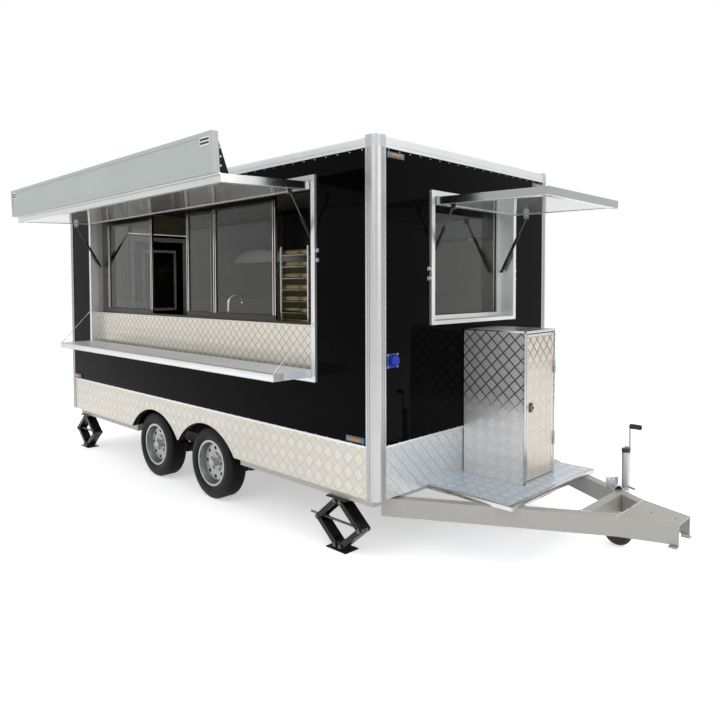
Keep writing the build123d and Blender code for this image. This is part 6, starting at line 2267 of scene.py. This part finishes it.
@dataclass
class Indoors:
    """What shows through the windows: cupboards with lamps, a tray rack and an extractor hood."""

    cupboard_x: Span = (-2.55, 1.20)
    cupboard_z: Span = (2.02, 2.40)
    cupboard_depth: float = 0.30
    cupboard_round: float = 0.004
    from_wall: float = 0.055
    doors: int = 6
    door_depth: float = 0.02
    door_back: float = 0.001
    door_round: float = 0.003
    gap: float = 0.004
    lamps: int = 9
    lamp: float = 0.026
    lamp_rim: float = 0.0234
    lamp_drop: float = 0.008
    lamp_glass: Span = (0.0182, 0.006)
    lamp_inset: Span = (0.2, 0.06)
    rack_x: Span = (0.37, 0.66)
    rack_y: Span = (-0.40, -0.14)
    rack_top: float = 1.92
    post: float = 0.008
    rung: float = 0.004
    trays: int = 7
    tray: float = 0.034
    tray_round: float = 0.006
    tray_over: float = 0.004
    tray_inset: float = 0.012
    tray_first: float = 0.03
    tray_last: float = 0.02
    hood: Point = (-1.75, 1.20, 1.90)
    hood_size: Point = (0.60, 0.28, 0.20)

    def build(self) -> None:
        """Builds the fittings."""
        self.back = BODY.off - self.from_wall
        self.front = self.back - self.cupboard_depth
        self.cupboards()
        self.cupboard_lamps()
        self.rack()
        self.extractor()

    def cupboards(self) -> None:
        """Wall cupboards with a door to each bay."""
        (left, right), (low, high) = self.cupboard_x, self.cupboard_z
        piece = Shaper("wall_cupboards", CUPBOARD, "black_panel")
        first = (left, self.front + self.door_depth, low)
        piece.block(first, (right, self.back, high), self.cupboard_round)
        width = (right - left) / self.doors
        for index in range(self.doors):
            x = left + index * width
            behind = self.front + self.door_depth - self.door_back
            last = (x + width - self.gap, behind, high - self.gap)
            piece.block((x + self.gap, self.front, low + self.gap), last, self.door_round)
        piece.done()

    def cupboard_lamps(self) -> None:
        """Round lamps under the cupboards' front edge."""
        lamps = Shaper("cupboard_lamps", WHITE_TRIM, "extrusion")
        (left, right), (end, inset) = self.cupboard_x, self.lamp_inset
        for x in spread(left + end, right - end, (right - left) / self.lamps):
            place = Vector((x, self.front + inset, self.cupboard_z[0]))
            foot = place - self.lamp_drop * Side.TOP.outward
            lamps.round(place, foot, self.lamp, self.lamp_rim, 20)
            lamps.dome(foot, -Side.TOP.outward, *self.lamp_glass, sides=16, rings=8)
        lamps.done()

    def rack(self) -> None:
        """A rack of trays on the bench."""
        foot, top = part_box("inner_counter")[1].z, self.rack_top
        rack = Shaper("tray_rack", STAINLESS, "bench_steel")
        trays = Shaper("trays", TRAY, "bench_steel")
        (left, right), (near, far) = self.rack_x, self.rack_y
        for x in self.rack_x:
            for y in self.rack_y:
                rack.round((x, y, foot), (x, y, top), self.post, sides=12)
                rack.dome((x, y, top), Side.TOP.outward, self.post, self.post, sides=12, rings=8)
        for z in spread(foot + self.tray_first, top - self.tray - self.tray_last, (top - foot) / self.trays):
            first = (left - self.tray_over, near + self.tray_inset, z)
            last = (right + self.tray_over, far - self.tray_inset, z + self.tray)
            trays.block(first, last, self.tray_round)
            for y in self.rack_y:
                rack.round((left, y, z - self.rung), (right, y, z - self.rung), self.rung, sides=8)
        rack.done()
        trays.done()

    def extractor(self) -> None:
        """A half-round white hood under the cupboards."""
        piece = Shaper("extractor_hood", WHITE_TRIM, "extrusion")
        place = Matrix.Translation(self.hood) @ Matrix.Diagonal((*self.hood_size, 1.0))
        bmesh.ops.create_uvsphere(piece.mesh, u_segments=40, v_segments=24, radius=1.0, matrix=place)
        for point, normal in ((self.hood, -Side.TOP.outward), ((0.0, self.back, 0.0), Side.OFF.outward)):
            everything = piece.mesh.verts[:] + piece.mesh.edges[:] + piece.mesh.faces[:]
            bmesh.ops.bisect_plane(
                piece.mesh, geom=everything, plane_co=point, plane_no=normal, clear_outer=True
            )
            piece.close()
        piece.done()


@dataclass
class Studio:
    """Pale floor, soft light and the camera of the photograph."""

    floor_half: float = 60.0
    floor_glow: float = 0.47
    floor_tone: float = 0.93
    floor_roughness: float = 0.9
    floor_specular: float = 0.1
    ambient: float = 0.58
    camera_place: Point = (3.9775, -3.3617, 1.6486)
    yaw: float = 134.92
    pitch: float = -2.10
    roll: float = -0.18
    lens: float = 32.24
    sensor: float = 36.0
    view_end: float = 200.0
    shift: Span = (0.0200, -0.0710)
    # Each lamp: name, place, aim, width, power
    lamps: tuple[tuple[str, Point, Point, float, float], ...] = (
        ("key", (2.5, -8.5, 7.5), (-0.5, 0.0, 1.2), 9.0, 260.0),
        ("fill", (9.5, 1.0, 5.5), (0.8, 0.3, 1.2), 8.0, 235.0),
        ("back", (-8.0, 7.0, 7.0), (-0.5, 0.5, 1.5), 9.0, 240.0),
        ("top", (0.0, 0.3, 9.5), (0.0, 0.3, 0.0), 10.0, 430.0),
    )

    def build(self) -> None:
        """Builds floor, world, lamps and camera."""
        self.lay_floor()
        self.light()
        self.aim_camera()

    def lay_floor(self) -> None:
        """Lays a wide pale floor that keeps the object's shadow."""
        mesh = bmesh.new()
        bmesh.ops.create_grid(mesh, x_segments=2, y_segments=2, size=self.floor_half)
        data = bpy.data.meshes.new("studio_floor")
        mesh.to_mesh(data)
        mesh.free()
        floor = bpy.data.objects.new("studio_floor", data)
        bpy.context.scene.collection.objects.link(floor)
        made = bpy.data.materials.new("studio_floor")
        made.use_nodes = True
        shader = next(node for node in made.node_tree.nodes if node.type == "BSDF_PRINCIPLED")
        shader.inputs["Base Color"].default_value = (*(self.floor_tone,) * 3, 1.0)
        shader.inputs["Roughness"].default_value = self.floor_roughness
        shader.inputs["Specular IOR Level"].default_value = self.floor_specular
        shader.inputs["Emission Color"].default_value = (1.0, 1.0, 1.0, 1.0)
        graph = Graph(made.node_tree)
        glow = graph.times(seen_directly(graph), self.floor_glow)
        graph.feed(shader.inputs["Emission Strength"], glow)
        data.materials.append(made)

    def light(self) -> None:
        """Sets a white world and soft area lamps."""
        world = bpy.data.worlds.new("studio_world")
        bpy.context.scene.world = world
        world.use_nodes = True
        graph = Graph(world.node_tree)
        background = next(node for node in world.node_tree.nodes if node.type == "BACKGROUND")
        seen = seen_directly(graph)
        background.inputs["Color"].default_value = (1.0, 1.0, 1.0, 1.0)
        graph.feed(background.inputs["Strength"], graph.ramp(seen, 0.0, 1.0, (self.ambient, 1.0)))
        for name, place, aim, width, power in self.lamps:
            data = bpy.data.lights.new(name, "AREA")
            data.size = width
            data.energy = power
            lamp = bpy.data.objects.new(name, data)
            lamp.location = place
            lamp.rotation_euler = (Vector(aim) - Vector(place)).to_track_quat("-Z", "Y").to_euler()
            bpy.context.scene.collection.objects.link(lamp)
        bpy.context.scene.view_settings.view_transform = "Standard"

    def aim_camera(self) -> None:
        """Puts the camera where the photograph was taken."""
        yaw, pitch, roll = (math.radians(angle) for angle in (self.yaw, self.pitch, self.roll))
        level = math.cos(pitch)
        forward = Vector((level * math.cos(yaw), level * math.sin(yaw), math.sin(pitch)))
        right = Vector((math.sin(yaw), -math.cos(yaw), 0.0))
        up = right.cross(forward)
        tilt = Matrix.Rotation(-roll, 3, forward)
        right, up = tilt @ right, tilt @ up
        data = bpy.data.cameras.new("photograph")
        data.sensor_width = self.sensor
        data.lens = self.lens
        data.shift_x, data.shift_y = self.shift
        data.clip_end = self.view_end
        camera = bpy.data.objects.new("photograph", data)
        turn = Matrix((right, up, -forward)).transposed().to_4x4()
        camera.matrix_world = Matrix.Translation(self.camera_place) @ turn
        bpy.context.scene.collection.objects.link(camera)
        bpy.context.scene.camera = camera


def main() -> None:
    """Builds the scene in order."""
    logging.basicConfig(level=logging.INFO, format="%(name)s: %(message)s")
    Cladding().dress()
    trims = (
        Fastenings(), CornerCaps(), ArchLiner(), Lamps(), PaneTrim(), FrameBolts(), ServiceHatchTrim(),
        FrontHatchTrim(), GasBoxTrim(), DrawbarTrim(), JackTrim(), PowerInlet(), RearDoorTrim(), Indoors(),
    )
    wheels = [RoadWheel(axle, side) for axle in ("front", "rear") for side in ("right", "left")]
    for part in (*trims, *wheels, Studio()):
        part.build()


if __name__ == "__main__":
    main()
